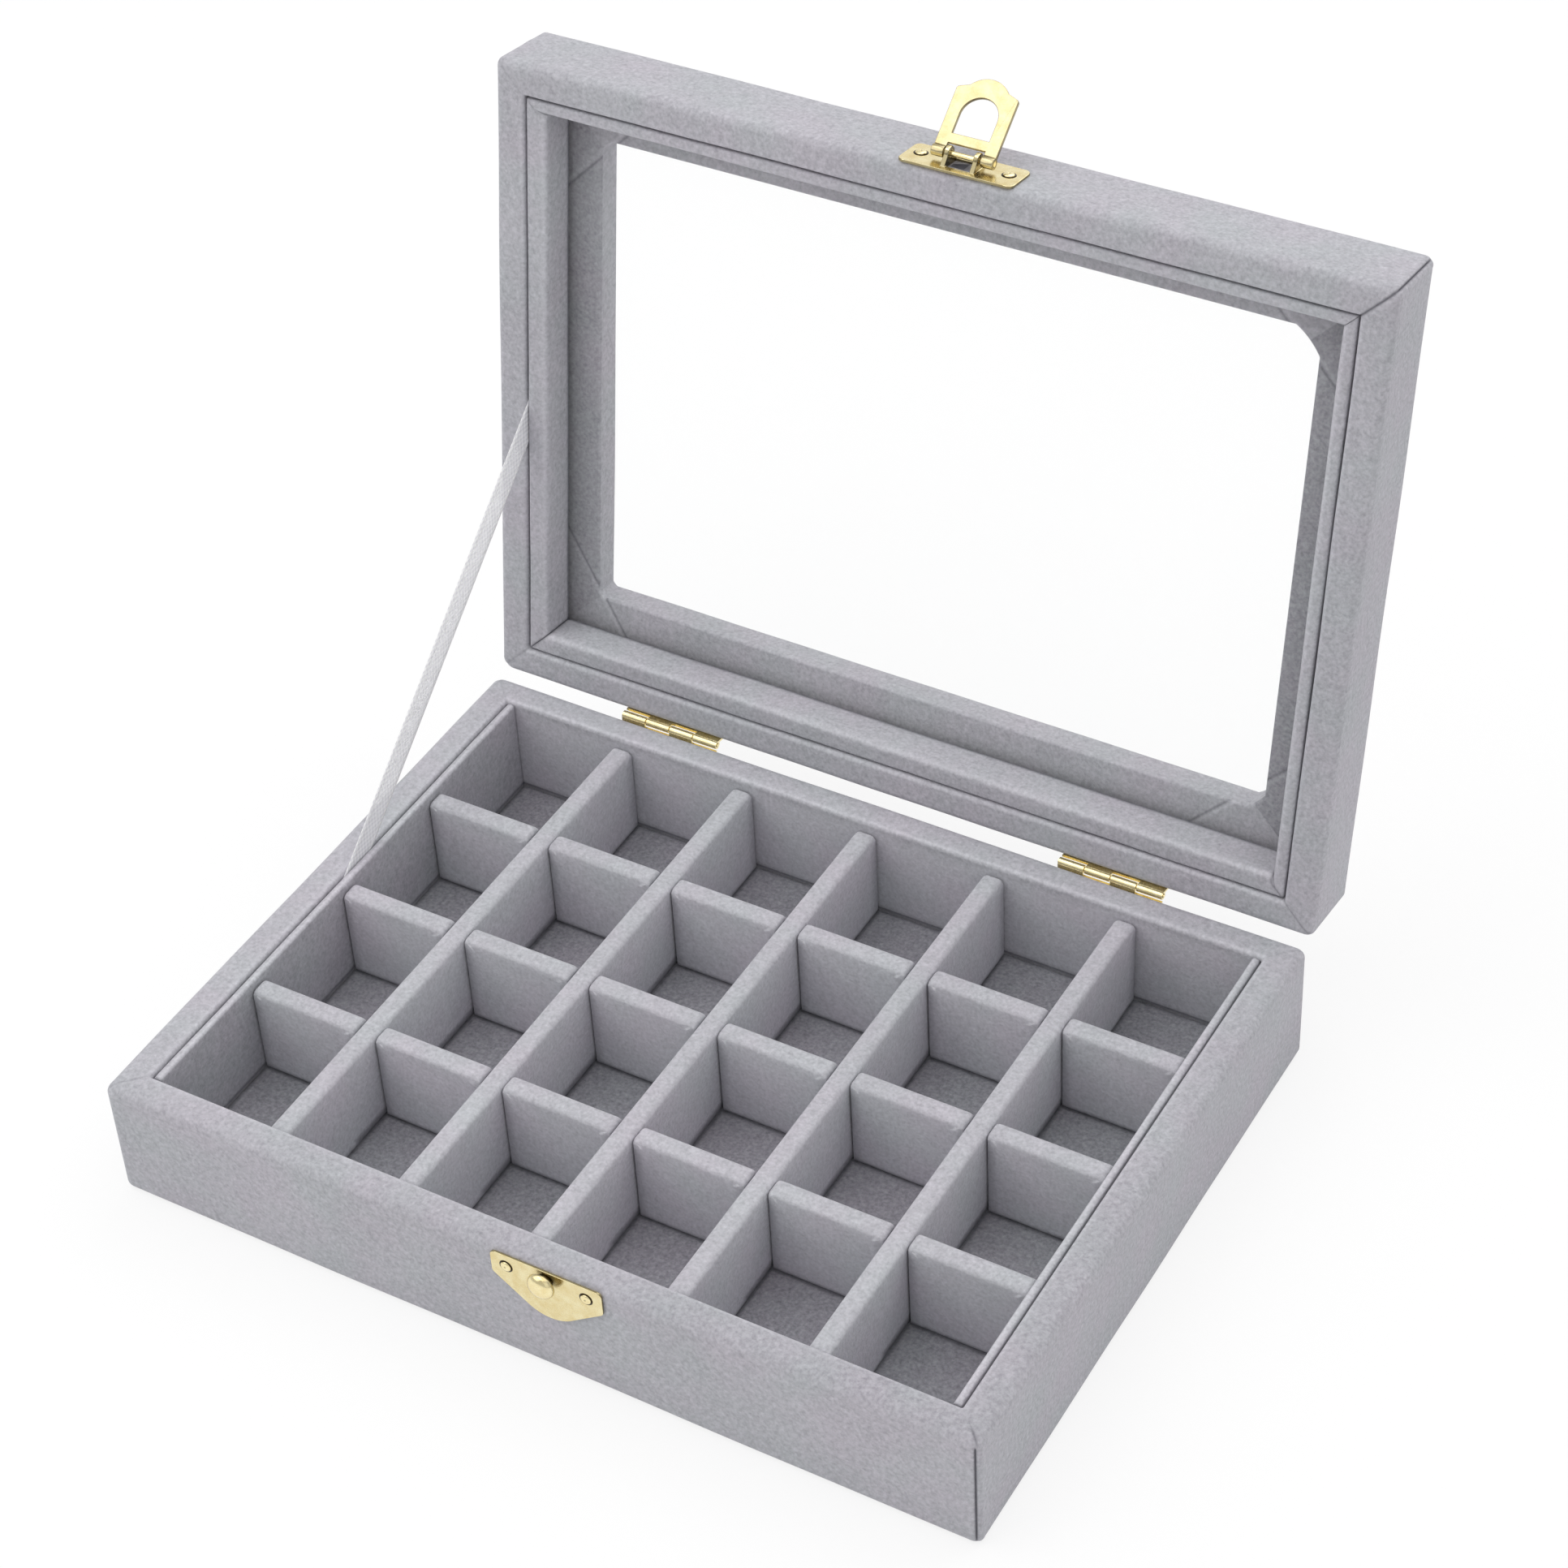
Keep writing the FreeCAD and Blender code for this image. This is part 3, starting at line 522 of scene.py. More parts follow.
def makeRibbonStay():
    # a flat band carried along a smooth spline from the base's left seam to the lid's
    look = ribbonSize
    stops = np.array(look["route"])
    low, leaves, enters, high = stops
    way = (high - low) / np.linalg.norm(high - low)
    curve = bpy.data.curves.new("ribbonRoute", "CURVE")
    curve.dimensions = "3D"
    spline = curve.splines.new("NURBS")
    spline.points.add(len(stops) - 1)
    spline.points.foreach_set("co", np.column_stack([stops, np.ones(len(stops))]).ravel())
    spline.order_u = 3
    spline.use_endpoint_u = True
    curve.resolution_u = 16
    route = addObject("ribbonRoute", curve)
    bpy.context.view_layer.update()
    line = bpy.data.meshes.new_from_object(route.evaluated_get(bpy.context.evaluated_depsgraph_get()))
    path = np.array([v.co for v in line.vertices])
    bpy.data.objects.remove(route)
    lengths = np.concatenate([[0], np.cumsum(np.linalg.norm(np.diff(path, axis=0), axis=1))])
    side = np.array([1.0, 0.0, 0.0])
    over = np.cross(way, side)
    t = np.linspace(-1, 1, look["acrossSteps"])
    # the free stretch bows a little across its width, flat again where it enters the seams
    tuck = look["tuckShare"]
    free = np.sin(math.pi * ramp(lengths / lengths[-1] - tuck, 1 - 2 * tuck))
    bow = side * (look["curl"] * free[:, None] * (1 - t ** 2)[None])[..., None]
    band = path[:, None] + over * (t * look["width"] / 2)[None, :, None] + bow
    half = side * look["thick"] / 2
    grid = np.concatenate([band + half, (band - half)[:, ::-1]], 1)
    rows, columns = grid.shape[:2]
    caps = [list(range(columns)), list(range((rows - 1) * columns, rows * columns))]
    both = np.concatenate([t, t[::-1]])
    marks = {"edge": np.repeat((np.abs(both) > look["edge"])[None], rows, 0)}
    faces = gridFaces(rows, columns, False, True)
    piece = makePiece("ribbonBand", grid, faces, finishes["ribbon"], caps, marks)
    weave = piece.data.uv_layers.new(name="weave")
    u = np.repeat(lengths[:, None], columns, 1).ravel()
    v = np.repeat(both[None] * look["width"] / 2, rows, 0).ravel()
    corners = np.empty(len(piece.data.loops), np.int32)
    piece.data.loops.foreach_get("vertex_index", corners)
    weave.data.foreach_set("uv", np.column_stack([u[corners], v[corners]]).ravel())
    closeUp(piece)
    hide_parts("ribbon_stay")
    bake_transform(piece)


makeRibbonStay()
print("camera and ribbon made")

# corners are named by the signs of X and Y
foldLook = {
    "groove": 0.28 * mm, "depth": 0.30 * mm, "fade": 0.8 * mm,
    "proud": 0.20 * mm, "proudAt": 1.2 * mm, "proudWidth": 1.0 * mm,
    "overlap": 0.16 * mm, "overlapAt": 1.0 * mm, "overlapWidth": 0.8 * mm,
}


def mitreFolds(points, amounts):
    # along each corner's diagonal a bell-shaped groove, darkened with painted shade, and beside it the cloth end
    # that lies on top
    look = foldLook
    push = np.zeros(points.shape[:-1])
    paintedShade = np.zeros(points.shape[:-1])
    for (sx, sy), (amount, reach) in amounts.items():
        a, b = halfX - sx * points[..., 0], halfY - sy * points[..., 1]
        across = (b - a) / math.sqrt(2)
        inside = np.maximum(a, b)
        near = ramp(reach - inside, look["fade"]) * (inside < rimWidth + 0.2 * mm)
        groove = bell(across, look["groove"])
        proud = bell(across - look["proudAt"], look["proudWidth"])
        push += near * amount * (look["proud"] * proud - look["depth"] * groove)
        paintedShade += near * amount * groove
    return push, paintedShade


def cornerSeam(points, look, low, high):
    # groove where the two cloth ends meet down the front right corner, darkened with painted shade, one end a
    # little proud
    radius = look["corner"]
    away = points[..., :2] - np.array([halfX - radius, radius - halfY])
    across = (np.arctan2(away[..., 1], away[..., 0]) + math.pi / 4) * radius + look["seamShift"]
    onWall = np.linalg.norm(away, axis=-1) > radius - 0.4 * mm
    onWall = onWall & (away[..., 0] > -0.2 * mm) & (away[..., 1] < 0.2 * mm)
    z, soft = points[..., 2], foldLook["fade"]
    fade = ramp(z - low, soft) * ramp(high - z, soft) * onWall
    groove = bell(across, look["seamWidth"])
    proud = foldLook["overlap"] * bell(across - foldLook["overlapAt"], foldLook["overlapWidth"])
    return fade * (proud - look["seamDepth"] * groove), fade * groove


def outwardNormals(points):
    normals = surfaceNormals(points, True)
    rightSide = points[..., 0] > halfX - 0.01 * mm
    return normals if normals[..., 0][rightSide].mean() > 0 else -normals


def clothRing(outline, look, ground):
    # every outline point (inset, height, plan radius, lean) runs round the box on its own rounded rectangle
    inset, height, plan, lean = outline.T
    grow = lean * look.get("windowGrow", 0) - inset
    ring = ringPath(halfX + grow, halfY + grow, plan, lean, look)
    ring = ring + lean[:, None, None] * np.array(look.get("windowShift", (0, 0)))
    z = np.repeat((ground + height)[:, None], ring.shape[1], 1)
    return np.concatenate([ring, z[..., None]], -1), inset[:, None], height[:, None]


baseCloth = {
    "corner": 1.8 * mm, "inner": 0.5 * mm, "foot": 2.0 * mm, "rim": 2.1 * mm, "rimInner": 1.2 * mm,
    "hem": 11.0 * mm, "lift": 0.1 * mm, "floorLine": (1.4 * mm, 0.6 * mm, 0.2 * mm),
    "arcSteps": 28, "sideSteps": 104, "filletSteps": 8, "flatStep": 1.6 * mm,
    "seed": 11, "wave": 0.07 * mm, "waveSize": 46 * mm,
    "wallPaintedLight": 0.7, "rimLightFalloff": 0.155, "edgeHighlight": 0.6, "lineWidth": 0.5 * mm,
    "seamDepth": 0.5 * mm, "seamWidth": 0.26 * mm, "seamShift": 0.5 * mm,
    "folds": {(1, -1): (0.6, 4.0 * mm), (-1, -1): (0.2, 8 * mm),
              (1, 1): (0.12, 8 * mm), (-1, 1): (0.15, 8 * mm)},
}


def makeBaseCover():
    look = baseCloth
    top, hem, lift, inner, corner = baseTop, look["hem"], look["lift"], look["inner"], look["corner"]
    under = lift + pile
    outline = roundedOutline([
        (hem, lift, 0, inner, 0),
        (0, lift, look["foot"], corner, 0),
        (0, top, look["rim"], corner, 0),
        (rimWidth, top, look["rimInner"], inner, 0),
        *[(rimWidth, padTop + rise, 0, inner, 0) for rise in look["floorLine"]],
        (rimWidth, boardFloor, 0, inner, 0),
        (rimWidth - pile, boardFloor, 0, inner, 0),
        (rimWidth - pile, top - pile, 0, inner, 0),
        (pile, top - pile, 0, corner - pile, 0),
        (pile, under, 0, corner - pile, 0),
        (hem, under, 0, inner, 0),
    ], look["filletSteps"], look["flatStep"])
    points, inset, height = clothRing(outline, look, 0)
    normals = outwardNormals(points)
    onWell = inset > rimWidth - 0.1 * mm
    shown = (inset < pile * 0.9) | (height > top - pile * 0.9) | onWell
    push = gentleWaves(points, look, look["seed"]) * (shown & (inset < rimWidth - 2 * mm))
    seamPush, seam = cornerSeam(points, look, 0.8 * mm, top - 1.2 * mm)
    foldPush, folds = mitreFolds(points, look["folds"])
    onRim = ramp(height - top + 1.6 * mm, 0.8 * mm) * shown
    push = push + seamPush * shown + foldPush * onRim
    # painted shade in the inside corners and along the line where the wall meets the padded floor; the seam and
    # mitre grooves get theirs too
    x, y = points[..., 0], points[..., 1]
    toX = halfX - rimWidth - np.abs(x)
    toY = halfY - rimWidth - np.abs(y)
    inside = (np.abs(np.minimum(toX, toY)) < 0.3 * mm) & onWell
    upright = bell(np.maximum(toX, toY), look["lineWidth"]) * (height < top - 1 * mm)
    paintedShade = seam * shown + folds * onRim
    paintedShade = paintedShade + inside * np.maximum(upright, bell(height - padTop, look["lineWidth"]))
    # painted highlight along the rim's inner edge, painted light on the walls of the well
    paintedLight = look["edgeHighlight"] * bell(inset - rimWidth + 0.5 * mm, 0.5 * mm) * bell(height - top, 0.8 * mm)
    paintedLight = paintedLight + look["wallPaintedLight"] * ramp(top - 1 * mm - height, 2 * mm) * onWell
    # painted light on top of the rim: lighter towards the back left, darker towards the front right
    rimTop = ramp(height - top + 1 * mm, 0.8 * mm) * (inset < rimWidth - 0.5 * mm)
    paintedLight = paintedLight + look["rimLightFalloff"] * rimTop * (y / halfY - x / halfX)
    points = points + normals * push[..., None]
    faces = gridFaces(*points.shape[:2], True, True)
    velvetPiece("baseVelvet", points, faces, "base", "base_cover", paintedLight, paintedShade)


makeBaseCover()

lidCloth = {
    "corner": 1.8 * mm, "inner": 0.5 * mm, "rim": 1.9 * mm, "rimInner": 1.1 * mm, "crown": 1.2 * mm,
    "cornerSizes": (1.0, 1.0, 1.45, 1.0), "windowGrow": 0.2 * mm, "windowShift": (0.4 * mm, -0.5 * mm),
    "windowCorner": 5.6 * mm, "windowFlat": 0.7, "windowCorners": (1.0, 0.65, 0.2, 0.4),
    "windowEdge": 0.8 * mm, "windowInner": 0.6 * mm, "earGap": (3.2 * mm, 2.6 * mm), "edgeHighlight": 0.5,
    "paneGap": 0.12 * mm, "arcSteps": 28, "sideSteps": 104, "filletSteps": 8, "flatStep": 1.6 * mm,
    "seed": 23, "wave": 0.06 * mm, "waveSize": 44 * mm,
    "seamDepth": 0.45 * mm, "seamWidth": 0.24 * mm, "seamShift": 0.0,
    "folds": {(1, -1): (0.8, 8 * mm), (-1, -1): (0.12, 8 * mm),
              (1, 1): (0.35, 8 * mm), (-1, 1): (0.25, 8 * mm)},
    "patches": {(1, -1): (0.707, 30.4 * mm), (-1, -1): (0.707, 29.0 * mm), (1, 1): (0.707, 31.8 * mm),
                (-1, 1): (0.84, 27.96 * mm)},
    "lipShade": (0.35, 0.6),
}


def makeLidCover():
    look = lidCloth
    tall = lidTop - lidRim
    under = lipUnder - lidRim + look["paneGap"]
    inner, corner, window = look["inner"], look["corner"], look["windowCorner"]
    outline = roundedOutline([
        (rimWidth, under, 0.2 * mm, inner, 0),
        (rimWidth, 0, look["rimInner"], inner, 0),
        (0, 0, look["rim"], corner, 0),
        (0, tall, look["crown"], corner, 0),
        (lipReach, tall, look["windowEdge"], window, 1),
        (lipReach, under, look["windowInner"], window, 1),
    ], look["filletSteps"], look["flatStep"])
    points, inset, height = clothRing(outline, look, lidRim)
    normals = outwardNormals(points)
    push = gentleWaves(points, look, look["seed"]) * (np.abs(height - under) > 1 * mm)
    seamPush, seam = cornerSeam(points, look, lidRim + 0.8 * mm, lidTop - 0.6 * mm)
    foldPush, folds = mitreFolds(points, look["folds"])
    onRim = ramp(1.6 * mm - height, 0.8 * mm)
    push = push + seamPush + foldPush * onRim
    # painted shade on the velvet between the hasp's ears
    x, y, z = np.moveaxis(points, -1, 0)
    pin = sum(shutBox("hasp_pin")) / 2
    wide, high = look["earGap"]
    gap = bell(x - pin[0], wide) * bell(z - pin[2], high) * (y < 2 * mm - halfY)
    paintedShade = np.clip(seam + folds * onRim + gap, 0, 1)
    # cloth patches over the lip's corners: their cut edges run across it and show through the glass, as a line of
    # painted shade with a painted highlight beside it
    fold = np.full(points.shape[:-1], noFold)
    onLip = (np.abs(height - under) < 0.5 * mm) & (inset > rimWidth)
    for (sx, sy), (lean, reach) in look["patches"].items():
        a, b = halfX - sx * x, halfY - sy * y
        here = onLip & (sx * x > 0) & (sy * y > 0)
        fold = np.where(here, (a * lean + b * math.sqrt(1 - lean ** 2) - reach) / mm, fold)
    # the cut-line shade is set there as well, deepening that painted shade
    fold = np.where(gap > 0.3, 0.0, fold)
    # painted highlight along the rim's inner edge
    paintedLight = look["edgeHighlight"] * bell(inset - rimWidth + 0.4 * mm, 0.5 * mm) * bell(height, 0.8 * mm)
    # painted shade on the lip's two ends
    atEnds = onLip & (halfX - np.abs(x) < halfY - np.abs(y))
    paintedLight = paintedLight - atEnds * np.where(x < 0, *look["lipShade"])
    points = points + normals * push[..., None]
    faces = gridFaces(*points.shape[:2], True, True)
    velvetPiece("lidVelvet", opened(points), faces, "lid", "lid_cover", paintedLight, paintedShade, fold)


makeLidCover()
print("covers made")

linerLook = {
    "baseRound": (0.5 * mm, 0.7 * mm), "lidRound": (0.7 * mm, 1.3 * mm, 0.2 * mm),
    "steps": 96, "arcSteps": 6, "flatStep": 1.2 * mm,
    "baseSeed": 31, "lidSeed": 41, "wave": 0.05 * mm, "waveSize": 34 * mm, "still": 3 * mm,
    "mitreGap": 0.08 * mm, "mitreWidth": 0.35 * mm, "endShade": (0.5, 0.5),
    "footWidth": 0.5 * mm, "edgeHighlight": 0.7,
    "slim": {"front": 2.8 * mm, "right": 2.9 * mm},
    "mitreShade": {"front": (0.12, 0.2), "back": (0.7, 0.4), "left": (0.12, 0.7), "right": (0.2, 0.4)},
}


def linerStrip(name, node, side, corners, ring, body, seed, ends=None):
    # a closed outline (depth behind the ring, height) runs along one side; where ends are given, each
    # is cut on the diagonal as deep as its neighbour is thick, and the strip belongs to the lid
    look = linerLook
    outline = roundedOutline(corners, look["arcSteps"], look["flatStep"])
    depth, height = outline.T[..., None]
    t = 0.5 - 0.5 * np.cos(math.pi * np.linspace(0, 1, look["steps"]))[None, :]
    lengthwise = side in ("front", "back")
    length, distance = ring if lengthwise else ring[::-1]
    cuts = [np.minimum(depth, end) + look["mitreGap"] for end in ends] if ends else [0 * depth, 0 * depth]
    along = (cuts[0] - length) * (1 - t) + (length - cuts[1]) * t
    toEnds = along - (cuts[0] - length), (length - cuts[1]) - along
    beside = np.repeat((distance - depth) * (-1 if side in ("front", "left") else 1), look["steps"], 1)
    z = np.repeat(height, look["steps"], 1)
    points = np.stack([along, beside, z] if lengthwise else [beside, along, z], -1)
    rows, columns = points.shape[:2]
    normals = surfaceNormals(points, False)
    still = ramp(np.minimum(*toEnds), look["still"])
    points = points + normals * (gentleWaves(points, look, seed) * still)[..., None]
    thick = depth.max()
    face, foot = (height.min(), height.max()) if ends else (height.max(), padTop)
    # painted highlight along the face's top edge; painted shade along the foot and at both ends
    paintedLight = look["edgeHighlight"] * bell(depth - thick + 0.5 * mm, 0.6 * mm) * bell(height - face, 0.9 * mm)
    paintedLight = np.repeat(paintedLight, look["steps"], 1)
    paintedShade = bell(height - foot, look["footWidth"]) * (depth > thick / 2)
    for dark, toEnd in zip(look["mitreShade"][side] if ends else look["endShade"], toEnds):
        paintedShade = paintedShade + dark * bell(toEnd, look["mitreWidth"])
    caps = [[r * columns for r in range(rows)], [r * columns + columns - 1 for r in range(rows)]]
    faces = gridFaces(rows, columns, True, False)
    return velvetPiece(name, opened(points) if ends else points, faces, body, node, paintedLight, paintedShade, caps=caps)


def makeLiners():
    look = linerLook
    outer, inner = look["baseRound"]
    for index, side in enumerate(("left", "right")):
        node = "base_liner_" + side
        low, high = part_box(node)
        thick = high.x - low.x
        corners = [(0, low.z, 0), (0, high.z, outer), (thick, high.z, inner),
                   (thick, padTop + 1 * mm, 0), (thick, padTop + 0.3 * mm, 0), (thick, low.z, 0)]
        ring = (max(abs(low.x), abs(high.x)), high.y)
        linerStrip("baseLiner_" + side, node, side, corners, ring, "base", look["baseSeed"] + index)
    low, high = shutBox("lid_liner_left")
    ring = (-low[0], -shutBox("lid_liner_front")[0][1])
    sides = ("front", "back", "left", "right")
    thick = {side: look["slim"].get(side, high[0] - low[0]) for side in sides}
    outer, inner, back = look["lidRound"]
    for index, side in enumerate(thick):
        deep = thick[side]
        corners = [(0, low[2], outer), (deep, low[2], inner), (deep, high[2] - 1 * mm, 0),
                   (deep, high[2], back), (0, high[2], 0)]
        ends = ("left", "right") if side in ("front", "back") else ("front", "back")
        piece = linerStrip("lidLiner_" + side, "lid_liner_" + side, side, corners, ring, "lid",
                           look["lidSeed"] + index, [thick[end] for end in ends])


makeLiners()
print("liners made")

dividerLook = {
    "edge": 1.2 * mm, "endShare": 0.35, "corner": 1.7 * mm, "crossCorner": 1.2 * mm,
    "edgeSteps": 8, "faceSteps": 10, "arcSteps": 8, "flatStep": 1.3 * mm, "fewest": 8, "crowd": 1.6,
    "seed": 60, "crossSeed": 80, "wave": 0.06 * mm, "waveSize": 30 * mm, "still": 2 * mm,
    "facePaintedLight": 0.85, "topHighlight": 0.25, "topHighlightAt": 0.4 * mm, "topHighlightWidth": 0.7 * mm,
    "endWidth": 0.42 * mm, "endFade": 2.5 * mm, "footShade": 0.6, "footWidth": 0.6 * mm,
}


def paddedBoard(length, thick, low, high, corner, seed):
    # offset curves of the side outline close in on both faces while the thickness grows as a quarter
    # circle; within the rounding the offset is shorter at the ends, so they are squarer than the top
    look = dividerLook
    edge, endShare = look["edge"], look["endShare"]
    half, tall = length / 2, high - low
    inward = edge * (1 - np.cos(np.linspace(0, math.pi / 2, look["edgeSteps"])))
    bulge = thick / 2 - edge + np.sqrt(edge ** 2 - (edge - inward) ** 2)
    inside = np.linspace(edge, min(half, tall), look["faceSteps"])[1:]
    inward = np.concatenate([inward, inside])
    bulge = np.concatenate([bulge, np.full(len(inside), thick / 2)])
    inward = np.concatenate([inward[::-1], inward])[:, None]
    bulge = np.concatenate([-bulge[::-1], bulge])[:, None]
    # columns: up the left end, round the corner, along the top, and the same mirrored
    turn = np.linspace(0, math.pi / 2, look["arcSteps"] + 1)
    upSteps, overSteps = (max(look["fewest"], int(run / look["flatStep"])) for run in (tall, length))
    up = np.linspace(0, 1, upSteps, endpoint=False) ** look["crowd"]
    over = np.linspace(-1, 1, overSteps + 2)[1:-1]
    share = endShare + (1 - endShare) * np.sin(turn)
    beyond = inward > edge * 1.001
    atEnd, atArc, atTop = (np.where(beyond, inward, inward * s) for s in (endShare, share, 1.0))
    arcIn, radius = np.maximum(atArc, corner), np.maximum(corner - atArc, 0)
    endX = np.repeat(atEnd - half, len(up), 1)
    endZ = low + (tall - np.maximum(atEnd, corner)) * up
    arcX, arcZ = arcIn - half - radius * np.cos(turn), high - arcIn + radius * np.sin(turn)
    topX = (half - np.maximum(atTop, corner)) * over
    topZ = np.repeat(high - atTop, len(over), 1)
    x = np.concatenate([endX, arcX, topX, -arcX[:, ::-1], -endX[:, ::-1]], 1)
    z = np.concatenate([endZ, arcZ, topZ, arcZ[:, ::-1], endZ[:, ::-1]], 1)
    points = np.stack([x, np.repeat(bulge, x.shape[1], 1), z], -1)
    onFace = ramp(inward - edge, look["still"]) * np.sign(bulge)
    points[..., 1] += gentleWaves(points, look, seed) * onFace
    # painted light on the faces and a painted highlight along the top edges; painted shade down both ends and
    # along the floor
    topness = np.concatenate([np.zeros(len(up)), np.sin(turn)])
    topness = np.concatenate([topness, np.ones(len(over)), topness[::-1]])
    paintedLight = look["facePaintedLight"] * ramp(inward, edge)
    paintedLight = paintedLight + look["topHighlight"] * bell(inward - look["topHighlightAt"], look["topHighlightWidth"]) * topness
    drop = ramp(high - z, look["endFade"])
    foot = look["footShade"] * bell(z - low, look["footWidth"])
    paintedShade = np.maximum(bell(half - np.abs(x), look["endWidth"]) * drop, foot)
    return points, paintedLight, paintedShade


def makeDividers():
    look = dividerLook
    names = nodesNamed("long_divider")
    low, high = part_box(names[0])
    length, thick = high.y - low.y, high.x - low.x
    lines = [(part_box(name)[0].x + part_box(name)[1].x) / 2 for name in names]
    for index, (node, x) in enumerate(zip(names, lines)):
        size = (length, thick, low.z, high.z, look["corner"])
        points, paintedLight, paintedShade = paddedBoard(*size, look["seed"] + index)
        points = np.stack([x - points[..., 1], points[..., 0], points[..., 2]], -1)
        faces = gridFaces(*points.shape[:2], False, False)
        velvetPiece("longDivider_%d" % (index + 1), points, faces, "base", node, paintedLight, paintedShade, fill=True)
    pitch = lines[1] - lines[0]
    middles = [lines[0] - pitch / 2] + [x + pitch / 2 for x in lines]
    for index, node in enumerate(nodesNamed("cross_divider")):
        low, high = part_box(node)
        place = np.array([[x, (low.y + high.y) / 2, 0] for x in middles])
        size = (2 * (high.x - middles[-1]), thick, low.z, high.z, look["crossCorner"])
        boards = [paddedBoard(*size, look["crossSeed"] + 10 * index + n) for n in range(len(middles))]
        points, paintedLight, paintedShade = (np.stack(part) for part in zip(*boards))
        points = points + place[:, None, None]
        grid = gridFaces(*paintedLight[0].shape, False, False)
        faces = np.concatenate([grid + n * paintedLight[0].size for n in range(len(middles))])
        velvetPiece("crossDividers_%d" % (index + 1), points, faces, "base", node, paintedLight, paintedShade, fill=True)


floorLook = {
    "step": 1.3 * mm, "close": [d * mm for d in (-1.2, -0.6, -0.25, 0.0, 0.25, 0.6, 1.2)],
    "leastStep": 0.05 * mm, "dip": 0.35 * mm, "dipWidth": 0.8 * mm,
    "seed": 7, "wave": 0.06 * mm, "waveSize": 24 * mm,
    "paintedLight": -0.85, "edgeShade": 0.7, "edgeWidth": 0.6 * mm, "clear": 0.6 * mm,
}


def floorSteps(axis, dividers, look):
    # even steps, closer ones on both sides of every wall and divider, and how far each is from the nearest
    low, high = (corner[axis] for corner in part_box("floor_pad"))
    sides = [corner[axis] for name in nodesNamed(dividers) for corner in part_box(name)]
    edges = np.array([low, high] + sides)
    closer = (edges[:, None] + np.array(look["close"])).ravel()
    places = np.concatenate([np.arange(low, high, look["step"]), closer, [high]])
    places = np.unique(np.round(places[(places >= low) & (places <= high)], 6))
    places = places[np.concatenate([[True], np.diff(places) > look["leastStep"]])]
    return places, np.min(np.abs(places[:, None] - edges), 1)


def makeFloor():
    # a sheet that sinks along every wall and divider: the dip is a bell curve of the distance to it
    look = floorLook
    x, nearX = floorSteps(0, "long_divider", look)
    y, nearY = floorSteps(1, "cross_divider", look)
    near = np.minimum(nearX[:, None], nearY[None, :])
    gx, gy = np.meshgrid(x, y, indexing="ij")
    flat = np.stack([gx, gy, np.full_like(gx, padTop)], -1)
    waves = np.abs(gentleWaves(flat, look, look["seed"]))
    z = padTop - look["dip"] * bell(near, look["dipWidth"]) - waves
    points = np.stack([gx, gy, z], -1)
    faces = gridFaces(*gx.shape, False, False)
    # painted shade over the whole floor, darker along every wall and divider
    paintedLight = np.full(gx.shape, look["paintedLight"])
    paintedShade = look["edgeShade"] * bell(near, look["edgeWidth"])
    piece = velvetPiece("floorVelvet", points, faces, "base", "floor_pad", paintedLight, paintedShade)
    if piece.data.polygons[0].normal.z < 0:
        piece.data.flip_normals()
    thickness = piece.modifiers.new("thickness", "SOLIDIFY")
    thickness.thickness = padTop - boardFloor - look["clear"]
    thickness.offset = -1


makeDividers()
makeFloor()
print("dividers and floor made")

stampLook = {
    "bevel": 0.16 * mm, "segments": 3, "angle": math.radians(35), "edgeFacing": 0.7, "cutEdgeShade": 0.65,
    "merge": 0.002 * mm, "flatAngle": math.radians(1.0),
}


def stampedCopy(node, body, flat=False, dull=0.0):
    # the plain stamping with its edges rolled over; dull tarnishes the flat of the plate
    look = stampLook
    mesh = frame["nodes"][node].data.copy()
    work = bmesh.new()
    work.from_mesh(mesh)
    bmesh.ops.remove_doubles(work, verts=work.verts, dist=look["merge"])
    bmesh.ops.dissolve_limit(work, angle_limit=look["flatAngle"], verts=work.verts, edges=work.edges)
    work.to_mesh(mesh)
    work.free()
    mesh.polygons.foreach_set("use_smooth", np.full(len(mesh.polygons), True))
    mesh.materials.clear()
    mesh.materials.append(finishes["brass"])
    if flat:
        # painted shade: cut edges and folded ears are darker than the flat of the plate
        normals = readAll(mesh.polygons, "normal", 3)
        facing = np.abs(normals @ normals[readAll(mesh.polygons, "area", 1).argmax()])
        tarnishAndShade = np.where(facing < look["edgeFacing"], look["cutEdgeShade"], dull).astype(np.float32)
        mesh.attributes.new("tarnishAndShade", "FLOAT", "FACE").data.foreach_set("value", tarnishAndShade)
    piece = addObject("stamped_" + node, mesh)
    rolled = piece.modifiers.new("rolledEdges", "BEVEL")
    rolled.width = look["bevel"]
    rolled.segments = look["segments"]
    rolled.limit_method = "ANGLE"
    rolled.angle_limit = look["angle"]
    flats = piece.modifiers.new("flats", "WEIGHTED_NORMAL")
    flats.keep_sharp = True
    settle(piece, body, "brass", node)


stampedCopy("hasp_plate", "lid", flat=True)
stampedCopy("hasp_loop", "loop", flat=True, dull=0.4)
stampedCopy("catch_plate", "base", flat=True, dull=0.1)
for side in ("left", "right"):
    for body in ("base", "lid"):
        stampedCopy("hinge_%s_%s_leaf" % (side, body), body)


def turned(profile, middle, outward, sides):
    # rows of (distance along the axis, radius) carried round the axis
    outward = np.array(outward, float)
    side = np.array([1.0, 0.0, 0.0])
    third = np.cross(outward, side)
    angle = np.linspace(0, 2 * math.pi, sides, endpoint=False)
    ring = np.cos(angle)[:, None] * side + np.sin(angle)[:, None] * third
    along, radius = np.array(profile).T
    return np.array(middle) + along[:, None, None] * outward + radius[:, None, None] * ring[None]


